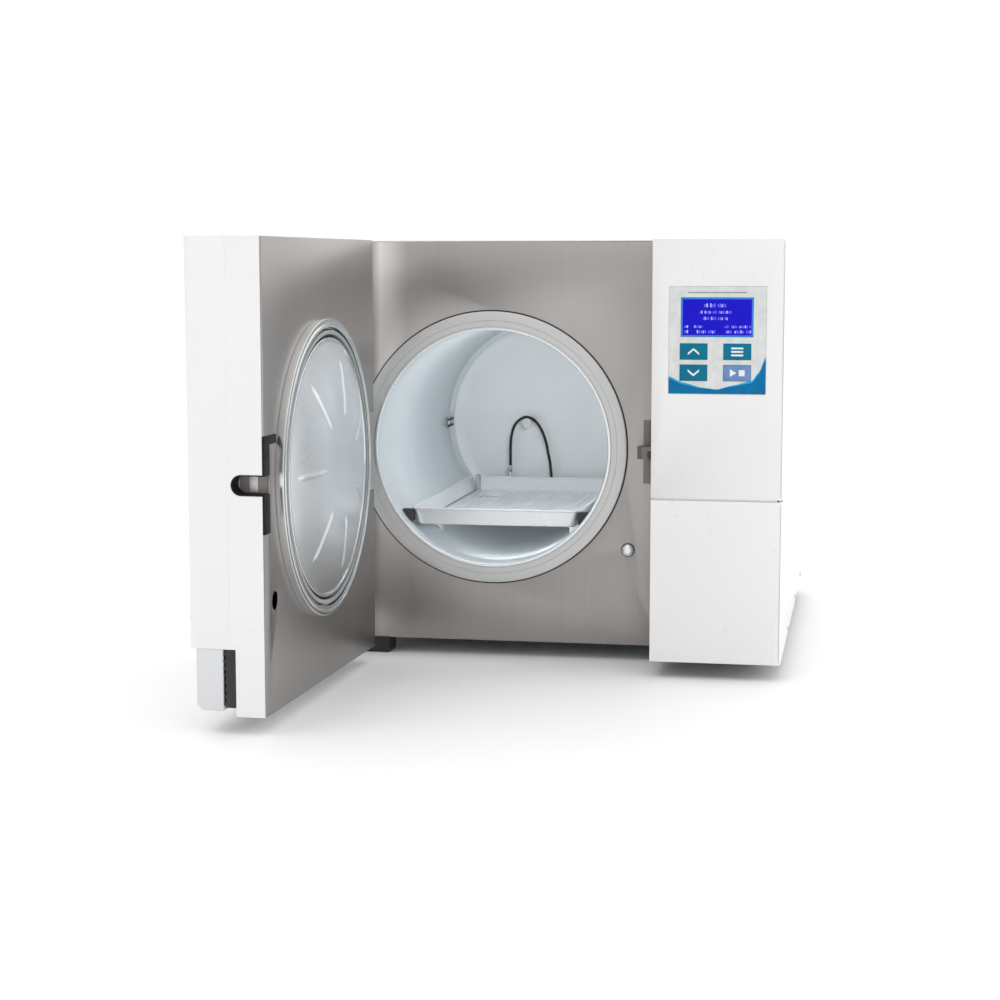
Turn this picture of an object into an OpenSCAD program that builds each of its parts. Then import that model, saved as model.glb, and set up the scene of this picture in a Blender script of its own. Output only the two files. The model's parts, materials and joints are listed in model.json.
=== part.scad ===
// Benchtop steam autoclave with its side-hinged door standing open.
// +X is the viewer's right, +Y the rear, +Z up; the origin is the middle of the four feet, on the bench.

/* [Cabinet] */
// Overall width of the cabinet
cab_w = 454; // [446:1:470]
// Depth of the cabinet behind the steel front panel
body_depth = 458; // [450:1:480]
// How far the control column stands forward of the steel panel
col_proud = 78; // [76:1:80]
// Width of the control column
col_w = 122; // [120:1:124]
// Height of the cabinet above its feet
cab_h = 394; // [390:1:410]
// Thickness of the sheet-metal covers
sheet_t = 1.5; // [1:0.1:1.9]

/* [Feet] */
// Height of a rubber foot
foot_h = 15; // [12:1:18]
// Width of a square rubber foot
foot_w = 32; // [28:0.5:34]
// Distance between feet across the width
foot_dx = 360; // [350:1:380]
// Distance between feet from front to rear
foot_dy = 420; // [410:1:426]
// Radius of the empty recess in the underside of each foot
foot_recess_r = 6.5; // [5:0.5:7]

/* [Chamber] */
// Inner radius of the sterilising chamber
chamber_r = 115; // [113:0.5:116]
// Inner depth of the chamber
chamber_depth = 355; // [350:1:360]
// Height of the chamber's axis above the bench
chamber_z = 207; // [205:1:209]
// Outer radius of the flange ring around the mouth
ring_r = 133.3; // [132:0.1:135]

/* [Door] */
// Width of the door
door_w = 326; // [325:0.5:326.5]
// Thickness of the door
door_t = 68; // [67:0.5:69]
// Angle at which the door stands open
open_angle = 92; // [90:1:94]
// Outer radius of the pressure disc
disc_r = 131.5; // [128:0.5:132]
// How far the disc's dome reaches past the door's inner plate
dome_h = 20; // [17:0.5:21]

/* [Control panel] */
// Width of the control overlay
overlay_w = 89; // [88:0.5:92]
// Height of the control overlay
overlay_h = 98.5; // [98:0.5:100]
// Width of a key cap
key_w = 25; // [24:0.5:25.5]
// Height of a key cap
key_h = 14.5; // [13.5:0.5:14.5]

/* [Tray] */
// Width of the perforated tray at its rim
tray_w = 170; // [166:1:171]
// Length of the perforated tray
tray_l = 306; // [290:1:306]
// Height of the tray's rim
tray_h = 16; // [14:1:17]

/* [Hidden] */
$fn = 64;
eps = 0.1;             // overshoot that keeps cuts clean
fit_gap = 0.05;        // radial clearance of a running fit
air = 0.2;             // clearance between neighbouring sheets

// Cabinet planes
left_x = -cab_w / 2;
right_x = cab_w / 2;
col_x = right_x - col_w;
foot_setback = 15;     // front feet's centres behind the steel panel
panel_y = -foot_dy / 2 - foot_setback;
col_y = panel_y - col_proud;
back_y = panel_y + body_depth;
top_z = foot_h + cab_h;
shell_t = 3;           // moulded shells
edge_r = 6;            // rounded front edge of the column
return_d = 14;         // depth of the column shells' side return
seam_y = col_y + return_d + 2.5;
seam_z = 168.5;        // seam between the bezel and the service door
pan_t = 1.5;
pan_lip = 20;

// Chamber
chamber_x = -60;
ring_proud = 2;
mouth_y = panel_y - ring_proud;
vessel_t = 3;
vessel_end_t = 4;
collar_r = 126.4;      // flange ring's spigot through the panel
jacket_r = 132;
jacket_l = 330;

// Door in its closed place
door_gap = 10;
door_x0 = left_x + 1;
door_x1 = door_x0 + door_w;
door_y0 = col_y;
door_y1 = door_y0 + door_t;
hinge_x = door_x0 + 11;
hinge_y = door_y0 + 20;
cover_d = 37;          // depth of the outer cover
frame_y = door_y0 + cover_d;
plate_y = door_y1 - sheet_t;
cover_z0 = 71;         // lower edge of the outer cover, above the grip
grip_step = 4.5;       // how much thinner the frame is behind the grip
door_edge_r = 8;
notch = [door_x0 - 1, -202, door_y0 + 6, door_y1 + 1, 170, 245];  // space around the hinge arm
hinge_pin_r = 4;
lug_h = 14;

// Latch, at the door's free edge
latch_z = 207;
slot_r = 7.6;
slot_end_y = door_y1 - 20;
bolt_x = door_x1 - 6;
bolt_y = door_y1 - 14;
bolt_r = 4;
bolt_z0 = latch_z + 7.5;
bolt_l = 29;
frame_half_h = 40;     // half height of the latch frame
lock_x = 75;
lock_z = 109;
lock_r = 6;

// Control panel
overlay_x = col_x + 15.6;
overlay_z = 267;
lcd = [overlay_x + 10.8, 319.3, 66.6, 36.3];
key_cols = [col_x + 26, col_x + 66];
key_rows = [298.7, 279.2];
key_travel = 0.8;

// Service compartment
service_y = -262;
rod_y = col_y + 10;
rod_z = 21;
rod_r = 2;
drain_x = [140, 192];
drain_z = 95;

// Tray
tray_z = 127.6;
tray_y = panel_y + 19;
tray_t = 1.2;
tray_taper = 5;        // each side leans out this much, to follow the chamber's wall
rail_x = [66, 75];     // support rails under the tray, either side of the chamber's middle

// Rear
fan = [150, 300];      // centre of the fan, x and z
fan_size = 80;
inlet = [190, 60];
switch_c = [140, 60];
spigot_x = [-150, -105];
spigot_z = 60;
spigot_r = 4;
valve = [-60, 365];
tank = [-215, 60, -60, 140, 344, 402];
cap_c = [-120, 60];
cap_r = 33;

// Probe lead: round points along its free route, from the gland to the tip
lead_d = 3.2;
lead_sides = 8;
lead_route = [
    [-52, 124, 118], [-52, 120, 118], [-52, 117, 119], [-52, 114.5, 122], [-52, 113.5, 126],
    [-52, 113, 132], [-53, 113, 140], [-54, 113, 150], [-55, 113, 160], [-57, 113, 170],
    [-59, 113, 180], [-62, 113, 190], [-66, 113, 199], [-71, 113, 206], [-77, 113, 210.5],
    [-84, 113, 211.5], [-91, 113, 208], [-96, 113, 202], [-99, 113, 194], [-100.5, 113, 185],
    [-101, 113, 175], [-101, 113, 165], [-101, 113, 156]
];
hook = [-81, 205.3];
hook_r = 3;

// A box from its low and high coordinates
module span(x0, x1, y0, y1, z0, z1) {
    translate([x0, y0, z0]) cube([x1 - x0, y1 - y0, z1 - z0]);
}

// Children drawn about +Z lie along the chamber's axis, +Z towards the rear
module on_axis(y) {
    translate([chamber_x, y, chamber_z]) rotate([-90, 0, 0]) children();
}

// A rod towards the rear, from its centre in x and z
module rod_y_dir(x, z, y0, y1, r) {
    translate([x, y0, z]) rotate([-90, 0, 0]) cylinder(r = r, h = y1 - y0);
}

// A rod towards +X
module rod_x_dir(y, z, x0, x1, r) {
    translate([x0, y, z]) rotate([0, 90, 0]) cylinder(r = r, h = x1 - x0);
}

// A standing rod
module post(x, y, z0, z1, r) {
    translate([x, y, z0]) cylinder(r = r, h = z1 - z0);
}

// A ring around the chamber's axis
module axis_ring(y, r_in, r_out, h) {
    on_axis(y) difference() {
        cylinder(r = r_out, h = h, $fn = 96);
        translate([0, 0, -eps]) cylinder(r = r_in, h = h + 2 * eps, $fn = 96);
    }
}

// Door parts are drawn closed and swung out about the hinge pin
module swung_open() {
    translate([hinge_x, hinge_y, 0]) rotate([0, 0, -open_angle])
        translate([-hinge_x, -hinge_y, 0]) children();
}

module hinge_notch() {
    span(notch[0], notch[1], notch[2], notch[3], notch[4], notch[5]);
}

// Round-ended slot for the catch, running in from the door's inner face
module latch_slot(x0, x1, r) {
    span(x0, x1, slot_end_y, door_y1 + 2, latch_z - r, latch_z + r);
    rod_x_dir(slot_end_y, latch_z, x0, x1, r);
}

/* ---- Cabinet ---- */

module base_pan() {
    inset = 3;
    color("silver") difference() {
        union() {
            span(left_x + inset, right_x - inset, panel_y + 2, back_y - 2, foot_h, foot_h + pan_t);
            span(col_x + 2, right_x - inset, seam_y + 1, panel_y + 3, foot_h, foot_h + pan_t);
            for (x = [left_x + inset, right_x - inset - pan_t])
                span(x, x + pan_t, panel_y + 2, back_y - 2, foot_h, foot_h + pan_lip);
        }
        for (x = [-1, 1], y = [-1, 1])
            post(x * foot_dx / 2, y * foot_dy / 2, foot_h - eps, foot_h + pan_t + eps, 3.1);
    }
}

module feet() {
    stud_r = 3;
    stud_h = 9;
    corner_r = 3;
    half = foot_w / 2 - corner_r;
    color([0.08, 0.08, 0.08]) for (x = [-1, 1], y = [-1, 1])
        translate([x * foot_dx / 2, y * foot_dy / 2, 0]) {
            difference() {
                hull() for (i = [-1, 1], j = [-1, 1])
                    translate([i * half, j * half, 0]) cylinder(r = corner_r, h = foot_h);
                translate([0, 0, -eps]) cylinder(r = foot_recess_r, h = 5 + eps);
            }
            translate([0, 0, foot_h - 1]) cylinder(r = stud_r, h = stud_h + 1);
        }
}

module front_steel_panel() {
    color([0.62, 0.6, 0.58]) difference() {
        span(left_x + sheet_t + eps, col_x - air, panel_y, panel_y + sheet_t, foot_h + air, top_z - sheet_t - air);
        on_axis(panel_y - 1) cylinder(r = collar_r + 0.6, h = 4, $fn = 96);
        rod_y_dir(lock_x, lock_z, panel_y - 1, panel_y + 3, lock_r + 0.6);
    }
}

module cabinet_cover() {
    color([0.94, 0.94, 0.94]) difference() {
        union() {
            span(left_x, left_x + sheet_t, panel_y, back_y, foot_h, top_z);
            span(right_x - sheet_t, right_x, seam_y, back_y, foot_h, top_z);
            span(left_x, right_x, panel_y, back_y, top_z - sheet_t, top_z);
            span(col_x, right_x, seam_y, panel_y + eps, top_z - sheet_t, top_z);
        }
        post(cap_c[0], cap_c[1], top_z - 4, top_z + 1, cap_r - 3);
        for (i = [0:11])
            span(right_x - 3, right_x + 1, 60 + 12 * i, 64 + 12 * i, 250, 310);
    }
}

module rear_panel() {
    gap = 0.1;
    color([0.9, 0.9, 0.9]) difference() {
        span(left_x + sheet_t + gap, right_x - sheet_t - gap, back_y - sheet_t, back_y,
             foot_h + air, top_z - sheet_t - air);
        rod_y_dir(fan[0], fan[1], back_y - 3, back_y + 1, fan_size / 2 - 2);
        for (x = spigot_x) rod_y_dir(x, spigot_z, back_y - 3, back_y + 1, spigot_r + 1.1);
        rod_y_dir(valve[0], valve[1], back_y - 3, back_y + 1, 11.2);
        span(inlet[0] - 14, inlet[0] + 14, back_y - 3, back_y + 1, inlet[1] - 10.5, inlet[1] + 10.5);
        span(switch_c[0] - 11.5, switch_c[0] + 11.5, back_y - 3, back_y + 1,
             switch_c[1] - 14.5, switch_c[1] + 14.5);
        for (i = [0:8]) span(-190 + 14 * i, -184 + 14 * i, back_y - 3, back_y + 1, 180, 250);
    }
}

// Plan of a column shell, drawn in by an inset, with its front right edge rounded
module column_plan(inset) {
    r = edge_r - inset;
    x1 = right_x - edge_r;
    y0 = col_y + inset;
    y1 = col_y + return_d + inset;
    translate([col_x, y0]) square([x1 - col_x, y1 - y0]);
    translate([x1 - eps, col_y + edge_r]) square([r + eps, y1 - col_y - edge_r]);
    translate([x1, col_y + edge_r]) circle(r = r);
}

module column_bezel() {
    color([0.95, 0.95, 0.95]) difference() {
        union() {
            difference() {
                translate([0, 0, seam_z + 1]) linear_extrude(top_z - seam_z - 1) column_plan(0);
                translate([-eps, 0, seam_z]) linear_extrude(top_z - seam_z - shell_t)
                    column_plan(shell_t);
            }
            for (x = [col_x + 9, right_x - 12], z = [192, 384])
                rod_y_dir(x, z, col_y + shell_t - eps, col_y + 9, 3);
        }
        span(overlay_x - air, overlay_x + overlay_w + air, col_y - 1, col_y + 0.8,
             overlay_z - air, overlay_z + overlay_h + air);
        span(lcd[0], lcd[0] + lcd[2], col_y - 1, col_y + 4, lcd[1], lcd[1] + lcd[3]);
        for (x = key_cols, z = key_rows) key_hole(x, z);
    }
}

module key_hole(x, z) {
    gap = 0.3;
    span(x - gap, x + key_w + gap, col_y - 1, col_y + 4, z - gap, z + key_h + gap);
}

module column_side_wall() {
    color([0.93, 0.93, 0.93]) difference() {
        span(col_x, col_x + sheet_t, col_y + shell_t + air, panel_y - air, foot_h + air,
             top_z - sheet_t - air - 2);
        span(col_x - 1, col_x + 3, door_y1 - 27, door_y1 - 1, latch_z - 35, latch_z + 35);
        span(col_x - 1, col_x + 3, col_y, rod_y + 1, foot_h, rod_z + 1);
    }
}

module control_overlay() {
    color([0.85, 0.86, 0.85]) difference() {
        span(overlay_x, overlay_x + overlay_w, col_y - 0.2, col_y + 0.8,
             overlay_z, overlay_z + overlay_h);
        span(lcd[0], lcd[0] + lcd[2], col_y - 1, col_y + 2, lcd[1], lcd[1] + lcd[3]);
        for (x = key_cols, z = key_rows) key_hole(x, z);
    }
}

module lcd_module() {
    gap = 0.3;
    color([0.1, 0.06, 0.85]) {
        span(lcd[0] + gap, lcd[0] + lcd[2] - gap, col_y + 0.3, col_y + 4,
             lcd[1] + gap, lcd[1] + lcd[3] - gap);
        span(lcd[0] - 5, lcd[0] + lcd[2] + 5, col_y + 3.2, col_y + 8.8, lcd[1] + 0.5, lcd[1] + 44);
    }
}

module control_board() {
    board_y = col_y + 9;
    color([0.05, 0.4, 0.2]) {
        span(col_x + 6, right_x - 8, board_y, board_y + 1.6, 184, 392);
        for (x = key_cols, z = key_rows)
            span(x + key_w / 2 - 3, x + key_w / 2 + 3, board_y - 2.5, board_y + eps,
                 z + key_h / 2 - 3, z + key_h / 2 + 3);
        for (i = [0:4])
            span(col_x + 14 + 19 * i, col_x + 26 + 19 * i, board_y + 1.5, board_y + 9, 200, 224);
        span(col_x + 20, col_x + 60, board_y + 1.5, board_y + 4, 250, 290);
        for (x = [col_x + 75, col_x + 98]) rod_y_dir(x, 270, board_y + 1.5, board_y + 19, 8);
        span(col_x + 14, right_x - 16, board_y + 1.5, board_y + 11, 370, 384);
    }
}

/* ---- Chamber ---- */

module chamber_vessel() {
    port_r = 1.6;
    step_r = 103;
    step_h = 5;
    color([0.8, 0.84, 0.88]) {
        on_axis(mouth_y) difference() {
            cylinder(r = chamber_r + vessel_t, h = chamber_depth + vessel_end_t, $fn = 96);
            translate([0, 0, -eps])
                cylinder(r = chamber_r, h = chamber_depth - step_h + eps, $fn = 96);
            translate([0, 0, -eps]) cylinder(r = step_r, h = chamber_depth + eps, $fn = 96);
        }
        for (dz = [-3.5, 3.5])
            rod_y_dir(chamber_x - 111, chamber_z - 2 + dz, 98, 124, port_r);
        span(chamber_x - 115.8, chamber_x - 109.4, 106, 110, chamber_z - 8, chamber_z + 4);
    }
}

module chamber_flange_ring() {
    bore_r = chamber_r + vessel_t + fit_gap;
    bevel = 1.2;
    color([0.78, 0.78, 0.77]) on_axis(mouth_y) rotate_extrude($fn = 96) polygon([
        [bore_r, 0], [ring_r - bevel, 0], [ring_r, bevel], [ring_r, ring_proud],
        [collar_r, ring_proud], [collar_r, ring_proud + 6], [bore_r, ring_proud + 6]
    ]);
}

module insulation_jacket() {
    color([0.86, 0.8, 0.62]) axis_ring(panel_y + 7, 121.4, jacket_r, jacket_l);
}

module band_heaters() {
    band_w = 62;
    color([0.7, 0.68, 0.62]) for (y = [-190, -85, 20])
        difference() {
            axis_ring(y, chamber_r + vessel_t + air, 120.9, band_w);
            span(chamber_x - 2, chamber_x + 2, y - 1, y + band_w + 1, chamber_z, chamber_z + 130);
        }
}

module chamber_saddles() {
    half_w = 95;
    color("gray") for (y = [-170, 60])
        difference() {
            span(chamber_x - half_w, chamber_x + half_w, y, y + 14, foot_h + pan_t, chamber_z - 60);
            on_axis(y - 1) cylinder(r = jacket_r + fit_gap, h = 16, $fn = 96);
            span(chamber_x - 50, chamber_x + 50, y - 1, y + 15, foot_h, foot_h + 34);
        }
}

// Children drawn with +X to the right and +Y down run towards the rear inside the chamber
module in_chamber(y, h) {
    on_axis(y) linear_extrude(h) children();
}

module tray_rack() {
    rail_h = 3;
    foot_l = 8;
    rail_z = tray_z - air - rail_h;
    drop = chamber_z - rail_z;
    color([0.75, 0.77, 0.8]) {
        for (s = [-1, 1], y = [tray_y + 58, tray_y + 268])
            in_chamber(y, foot_l) intersection() {
                circle(r = chamber_r - 0.4, $fn = 96);
                translate([s > 0 ? rail_x[0] : -rail_x[1], drop - 1])
                    square([rail_x[1] - rail_x[0], 20]);
            }
        for (s = [-1, 1])
            translate([chamber_x + (s > 0 ? rail_x[0] : -rail_x[1]), tray_y + 26, rail_z])
                cube([rail_x[1] - rail_x[0], tray_l - 34, rail_h]);
        for (y = [tray_y + 58, tray_y + 268])
            span(chamber_x - rail_x[0] - 1, chamber_x + rail_x[0] + 1, y, y + foot_l,
                 rail_z, rail_z + 1.5);
    }
}

// Cross-section of the tray, drawn in by an inset, its floor at zero height
module tray_section(inset) {
    low = tray_w / 2 - tray_taper - inset;
    high = tray_w / 2 - inset;
    polygon([[-low, inset], [low, inset], [high, tray_h + 2 * inset], [-high, tray_h + 2 * inset]]);
}

module tray_body(inset) {
    translate([chamber_x, tray_y + tray_l - inset, tray_z]) rotate([90, 0, 0])
        linear_extrude(tray_l - 2 * inset) tray_section(inset);
}

module tray_bumpers() {
    reach = 9;
    color([0.06, 0.06, 0.07]) difference() {
        for (s = [-1, 1]) intersection() {
            on_axis(tray_y - 2) cylinder(r = chamber_r - 0.8, h = reach, $fn = 96);
            translate([chamber_x + s * 92 - 9, tray_y - 3, 130.5]) cube([18, 14, 12]);
        }
        tray_body(0);
    }
}

module tray() {
    hole_r = 3.2;
    pitch = 18;
    post_r = 2.4;
    color([0.82, 0.83, 0.84]) {
        difference() {
            tray_body(0);
            tray_body(tray_t);
            for (i = [-4:4], j = [0:15])
                translate([chamber_x + pitch * i, tray_y + 18 + pitch * j, tray_z - 1])
                    cylinder(r = hole_r, h = 3, $fn = 8);
        }
        for (s = [-1, 1])
            post(chamber_x + s * (tray_w / 2 - tray_taper - 5), tray_y + tray_l - 4.5,
                 tray_z + tray_t - eps, tray_z + tray_h + 3, post_r);
    }
}

/* ---- Temperature probe ---- */

back_y_in = mouth_y + chamber_depth;

module probe_gland() {
    g = lead_route[0];
    color([0.72, 0.7, 0.66]) difference() {
        union() {
            rod_y_dir(g[0], g[2], g[1], back_y_in, 5);
            rod_y_dir(g[0], g[2], back_y_in - 2, back_y_in, 8);
        }
        rod_y_dir(g[0], g[2], g[1] - 1, back_y_in + 1, 1);
    }
}

module probe_hook() {
    color([0.8, 0.8, 0.8]) {
        rod_y_dir(hook[0], hook[1], 107, back_y_in, hook_r);
        rod_y_dir(hook[0], hook[1], 106, 108, hook_r + 2.5);
    }
}

// Direction of the route at point i
function along(route, i) =
    let (d = route[min(i + 1, len(route) - 1)] - route[max(i - 1, 0)]) d / norm(d);

// Ring of points around the route; the route bends in planes that hold the side axis
function ring(route, i, r, n) =
    let (t = along(route, i), s = cross(t, [0.15, 1, 0.1]), u = s / norm(s), v = cross(t, u))
    [for (k = [0:n - 1]) route[i] + r * (cos(360 * k / n) * u + sin(360 * k / n) * v)];

module tube(route, d, n) {
    m = len(route);
    points = [for (i = [0:m - 1]) each ring(route, i, d / 2, n)];
    sides = [for (i = [0:m - 2], k = [0:n - 1])
        [i * n + k, i * n + (k + 1) % n, (i + 1) * n + (k + 1) % n, (i + 1) * n + k]];
    first = [for (k = [n - 1:-1:0]) k];
    last = [for (k = [0:n - 1]) (m - 1) * n + k];
    polyhedron(points, concat(sides, [first], [last]));
}

module probe_lead() {
    color([0.05, 0.05, 0.05]) tube(lead_route, lead_d, lead_sides);
}

module probe_tip() {
    e = lead_route[len(lead_route) - 1];
    color([0.8, 0.8, 0.82]) {
        post(e[0], e[1], e[2] - 34, e[2], 2.2);
        translate([e[0], e[1], e[2] - 34]) sphere(r = 2.2, $fn = 32);
    }
}

/* ---- Water and steam ---- */

module water_reservoir() {
    wall = 2.5;
    neck_r = cap_r - 4;
    color([0.85, 0.88, 0.9]) difference() {
        union() {
            span(tank[0], tank[1], tank[2], tank[3], tank[4], tank[5]);
            post(cap_c[0], cap_c[1], tank[5] - 1, top_z, neck_r);
        }
        span(tank[0] + wall, tank[1] - wall, tank[2] + wall, tank[3] - wall,
             tank[4] + wall, tank[5] - wall);
        post(cap_c[0], cap_c[1], tank[5] - 5, top_z + 1, neck_r - wall);
    }
}

module reservoir_cap() {
    neck_in = cap_r - 6.5;
    color([0.3, 0.5, 0.75]) {
        post(cap_c[0], cap_c[1], top_z + air, top_z + 2.2, cap_r);
        difference() {
            post(cap_c[0], cap_c[1], top_z - 9, top_z + 0.4, neck_in - fit_gap);
            post(cap_c[0], cap_c[1], top_z - 10, top_z - 1, neck_in - 2.5);
        }
        span(cap_c[0] - 26, cap_c[0] + 26, cap_c[1] - 2.5, cap_c[1] + 2.5, top_z + 2, top_z + 3.2);
    }
}

module water_pump() {
    x = 110;
    y = -120;
    z = foot_h + pan_t;
    color([0.25, 0.27, 0.3]) {
        span(x - 22, x + 22, y - 30, y + 30, z, z + 6);
        span(x - 18, x + 18, y - 26, y + 8, z + 5, z + 42);
        rod_y_dir(x, z + 24, y + 7, y + 40, 15);
        rod_x_dir(y - 12, z + 32, x + 17, x + 32, 4);
    }
}

module solenoid_valves() {
    z = foot_h + pan_t;
    color([0.75, 0.62, 0.3]) {
        span(110, 216, -52, -22, z, z + 16);
        for (i = [0:2]) {
            post(128 + 34 * i, -37, z + 15, z + 44, 13);
            post(128 + 34 * i, -37, z + 43, z + 48, 4);
        }
    }
}

module condenser() {
    tube_r = 4;
    pitch = 22;
    x = 150;
    y = 60;
    z0 = 240;
    z1 = 350;
    color([0.72, 0.45, 0.3]) {
        for (i = [0:5]) post(x, y + pitch * i, z0, z1, tube_r);
        for (i = [0:4])
            translate([x, y + pitch * (i + 0.5), i % 2 == 0 ? z1 : z0])
                rotate([90, 0, 90]) rotate([0, 0, i % 2 == 0 ? 0 : 180])
                    rotate_extrude(angle = 180) translate([pitch / 2, 0]) circle(r = tube_r);
        for (k = [0:9])
            span(x - 24, x + 24, y - 10, y + 5 * pitch + 10, z0 + 6 + 11 * k, z0 + 6.8 + 11 * k);
    }
}

module safety_valve_body() {
    color([0.78, 0.65, 0.35]) difference() {
        union() {
            rod_y_dir(valve[0], valve[1], 190, back_y + 8, 11);
            rod_y_dir(valve[0], valve[1], back_y - 12, back_y - 1.6, 15, $fn = 6);
        }
        rod_y_dir(valve[0], valve[1], back_y - 20, back_y + 9, 2.5 + fit_gap);
    }
}

module safety_valve_ring() {
    y = back_y + 12;
    color([0.8, 0.8, 0.82]) {
        rod_y_dir(valve[0], valve[1], back_y - 14, y + 2, 2.5);
        translate([valve[0], y + 13, valve[1]]) rotate([0, 90, 0])
            rotate_extrude($fn = 48) translate([12, 0]) circle(r = 1.5, $fn = 24);
    }
}

module rear_spigots() {
    color([0.75, 0.75, 0.76]) for (x = spigot_x) {
        rod_y_dir(x, spigot_z, back_y - 14, back_y + 22, spigot_r);
        rod_y_dir(x, spigot_z, back_y, back_y + 3, 9);
        rod_y_dir(x, spigot_z, back_y - 5, back_y - 1.6, 8);
    }
}

/* ---- Electrical ---- */

module power_supply() {
    z = foot_h + pan_t;
    color([0.7, 0.72, 0.74]) difference() {
        span(90, 212, 40, 150, z, z + 44);
        for (i = [0:9]) span(98 + 11 * i, 103 + 11 * i, 50, 140, z + 41, z + 45);
    }
}

module mains_inlet() {
    x = inlet[0];
    z = inlet[1];
    color([0.1, 0.1, 0.1]) {
        difference() {
            union() {
                span(x - 13.7, x + 13.7, back_y - 26, back_y + 0.1, z - 10.2, z + 10.2);
                span(x - 25, x + 25, back_y, back_y + 2.5, z - 14, z + 14);
            }
            span(x - 12, x + 12, back_y - 16, back_y + 4, z - 8, z + 8);
        }
        for (p = [[-7, -1.5], [7, -1.5], [0, 2.5]])
            span(x + p[0] - 1, x + p[0] + 1, back_y - 17, back_y - 1, z + p[1] - 2, z + p[1] + 2);
    }
}

module power_switch_body() {
    x = switch_c[0];
    z = switch_c[1];
    color([0.12, 0.12, 0.12]) difference() {
        union() {
            span(x - 11.2, x + 11.2, back_y - 22, back_y + 0.1, z - 14.2, z + 14.2);
            span(x - 13, x + 13, back_y, back_y + 2, z - 16, z + 16);
        }
        span(x - 9, x + 9, back_y - 14, back_y + 3, z - 12, z + 12);
        rod_x_dir(back_y - 3, z, x - 10.5, x + 10.5, 1.5 + fit_gap);
    }
}

module power_rocker() {
    x = switch_c[0];
    z = switch_c[1];
    y = back_y - 3;
    tilt = 8;
    color([0.75, 0.1, 0.08]) {
        translate([x - 8.6, y, z]) rotate([-tilt, 0, 0])
            intersection() {
                rotate([0, 90, 0]) cylinder(r = 11, h = 17.2);
                translate([0, -4, -11]) cube([17.2, 8.6, 22]);
            }
        rod_x_dir(y, z, x - 10.3, x + 10.3, 1.5);
    }
}

module fan_frame() {
    x = fan[0];
    z = fan[1];
    y0 = back_y - 27;
    y1 = back_y - sheet_t;
    half = fan_size / 2;
    color([0.1, 0.1, 0.11]) {
        difference() {
            span(x - half, x + half, y0, y1, z - half, z + half);
            rod_y_dir(x, z, y0 - 1, y1 + 1, half - 2);
        }
        difference() {
            union() {
                rod_y_dir(x, z, y1 - 5, y1, 16);
                for (a = [45:90:315])
                    translate([x, y1 - 4, z]) rotate([0, a, 0]) translate([0, 0, -2])
                        cube([half - 1, 3, 4]);
                for (r = [22, 29])
                    translate([x, y1 - 1.5, z]) rotate([-90, 0, 0]) difference() {
                        cylinder(r = r + 0.8, h = 1.5);
                        translate([0, 0, -eps]) cylinder(r = r - 0.8, h = 2);
                    }
            }
            rod_y_dir(x, z, y1 - 6, y1 + 1, 2 + fit_gap);
        }
    }
}

module fan_rotor() {
    x = fan[0];
    z = fan[1];
    y0 = back_y - 26;
    color([0.16, 0.16, 0.17]) {
        rod_y_dir(x, z, y0, y0 + 16, 16);
        rod_y_dir(x, z, y0 + 15, back_y - 3, 2);
        for (a = [0:360 / 7:359])
            translate([x, y0 + 8, z]) rotate([0, a, 0]) translate([15, 0, 0]) rotate([35, 0, 0])
                cube([20, 1.4, 15], center = false);
    }
}

/* ---- Service compartment ---- */

module service_panel() {
    lug_w = 4;
    color([0.8, 0.8, 0.8]) difference() {
        union() {
            span(col_x + 2, right_x - sheet_t - air, service_y, service_y + sheet_t,
                 foot_h + pan_t, seam_z - 3);
            for (x = [col_x + 7, right_x - 11])
                span(x, x + lug_w, rod_y - 4, service_y + 1, foot_h + pan_t, rod_z + 4);
        }
        rod_x_dir(rod_y, rod_z, col_x, right_x, rod_r);
        for (x = drain_x) rod_y_dir(x, drain_z, service_y - 1, service_y + 3, 9);
    }
}

module service_hinge_rod() {
    color("silver") rod_x_dir(rod_y, rod_z, col_x + 6, right_x - 6, rod_r);
}

module service_door() {
    knuckle_r = 4;
    knuckle_l = 14;
    color([0.95, 0.95, 0.95]) difference() {
        union() {
            difference() {
                translate([0, 0, foot_h]) linear_extrude(seam_z - foot_h - 1) column_plan(0);
                translate([-eps, 0, foot_h - 1]) linear_extrude(seam_z - foot_h - shell_t)
                    column_plan(shell_t);
                span(col_x - 1, col_x + sheet_t + air, col_y + shell_t, col_y + return_d + 1,
                     seam_z - 5, seam_z);
            }
            for (x = [col_x + 11.3, right_x - 11.3 - knuckle_l]) {
                rod_x_dir(rod_y, rod_z, x, x + knuckle_l, knuckle_r);
                span(x, x + knuckle_l, col_y + 1, rod_y, rod_z - 2, rod_z + knuckle_r);
            }
        }
        rod_x_dir(rod_y, rod_z, col_x - 1, right_x - 4, rod_r + fit_gap);
        span(right_x - 4, right_x + 1, rod_y - 4, rod_y + 6, foot_h - 1, rod_z);
    }
}

module drain_valve_bodies() {
    color([0.78, 0.66, 0.38]) for (x = drain_x) {
        rod_y_dir(x, drain_z, service_y - 8, service_y + 24, 8.6);
        rod_y_dir(x, drain_z, service_y - 20, service_y - 7, 3);
        rod_y_dir(x, drain_z, service_y + 23, service_y + 34, 5);
    }
}

// A ribbed knob on its valve stem
module drain_knob(x) {
    y = service_y - 21;
    color([0.12, 0.3, 0.6]) difference() {
        union() {
            rod_y_dir(x, drain_z, y, y + 10, 12);
            for (a = [0:30:330])
                translate([x, y, drain_z]) rotate([0, a, 0]) translate([11, 0, -1.5])
                    cube([2.4, 9, 3]);
        }
        rod_y_dir(x, drain_z, y + 0.9, y + 11, 3 + fit_gap);
    }
}

module drain_knob_left() drain_knob(drain_x[0]);

module drain_knob_right() drain_knob(drain_x[1]);

/* ---- Lock, latch and hinge on the cabinet ---- */

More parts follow.
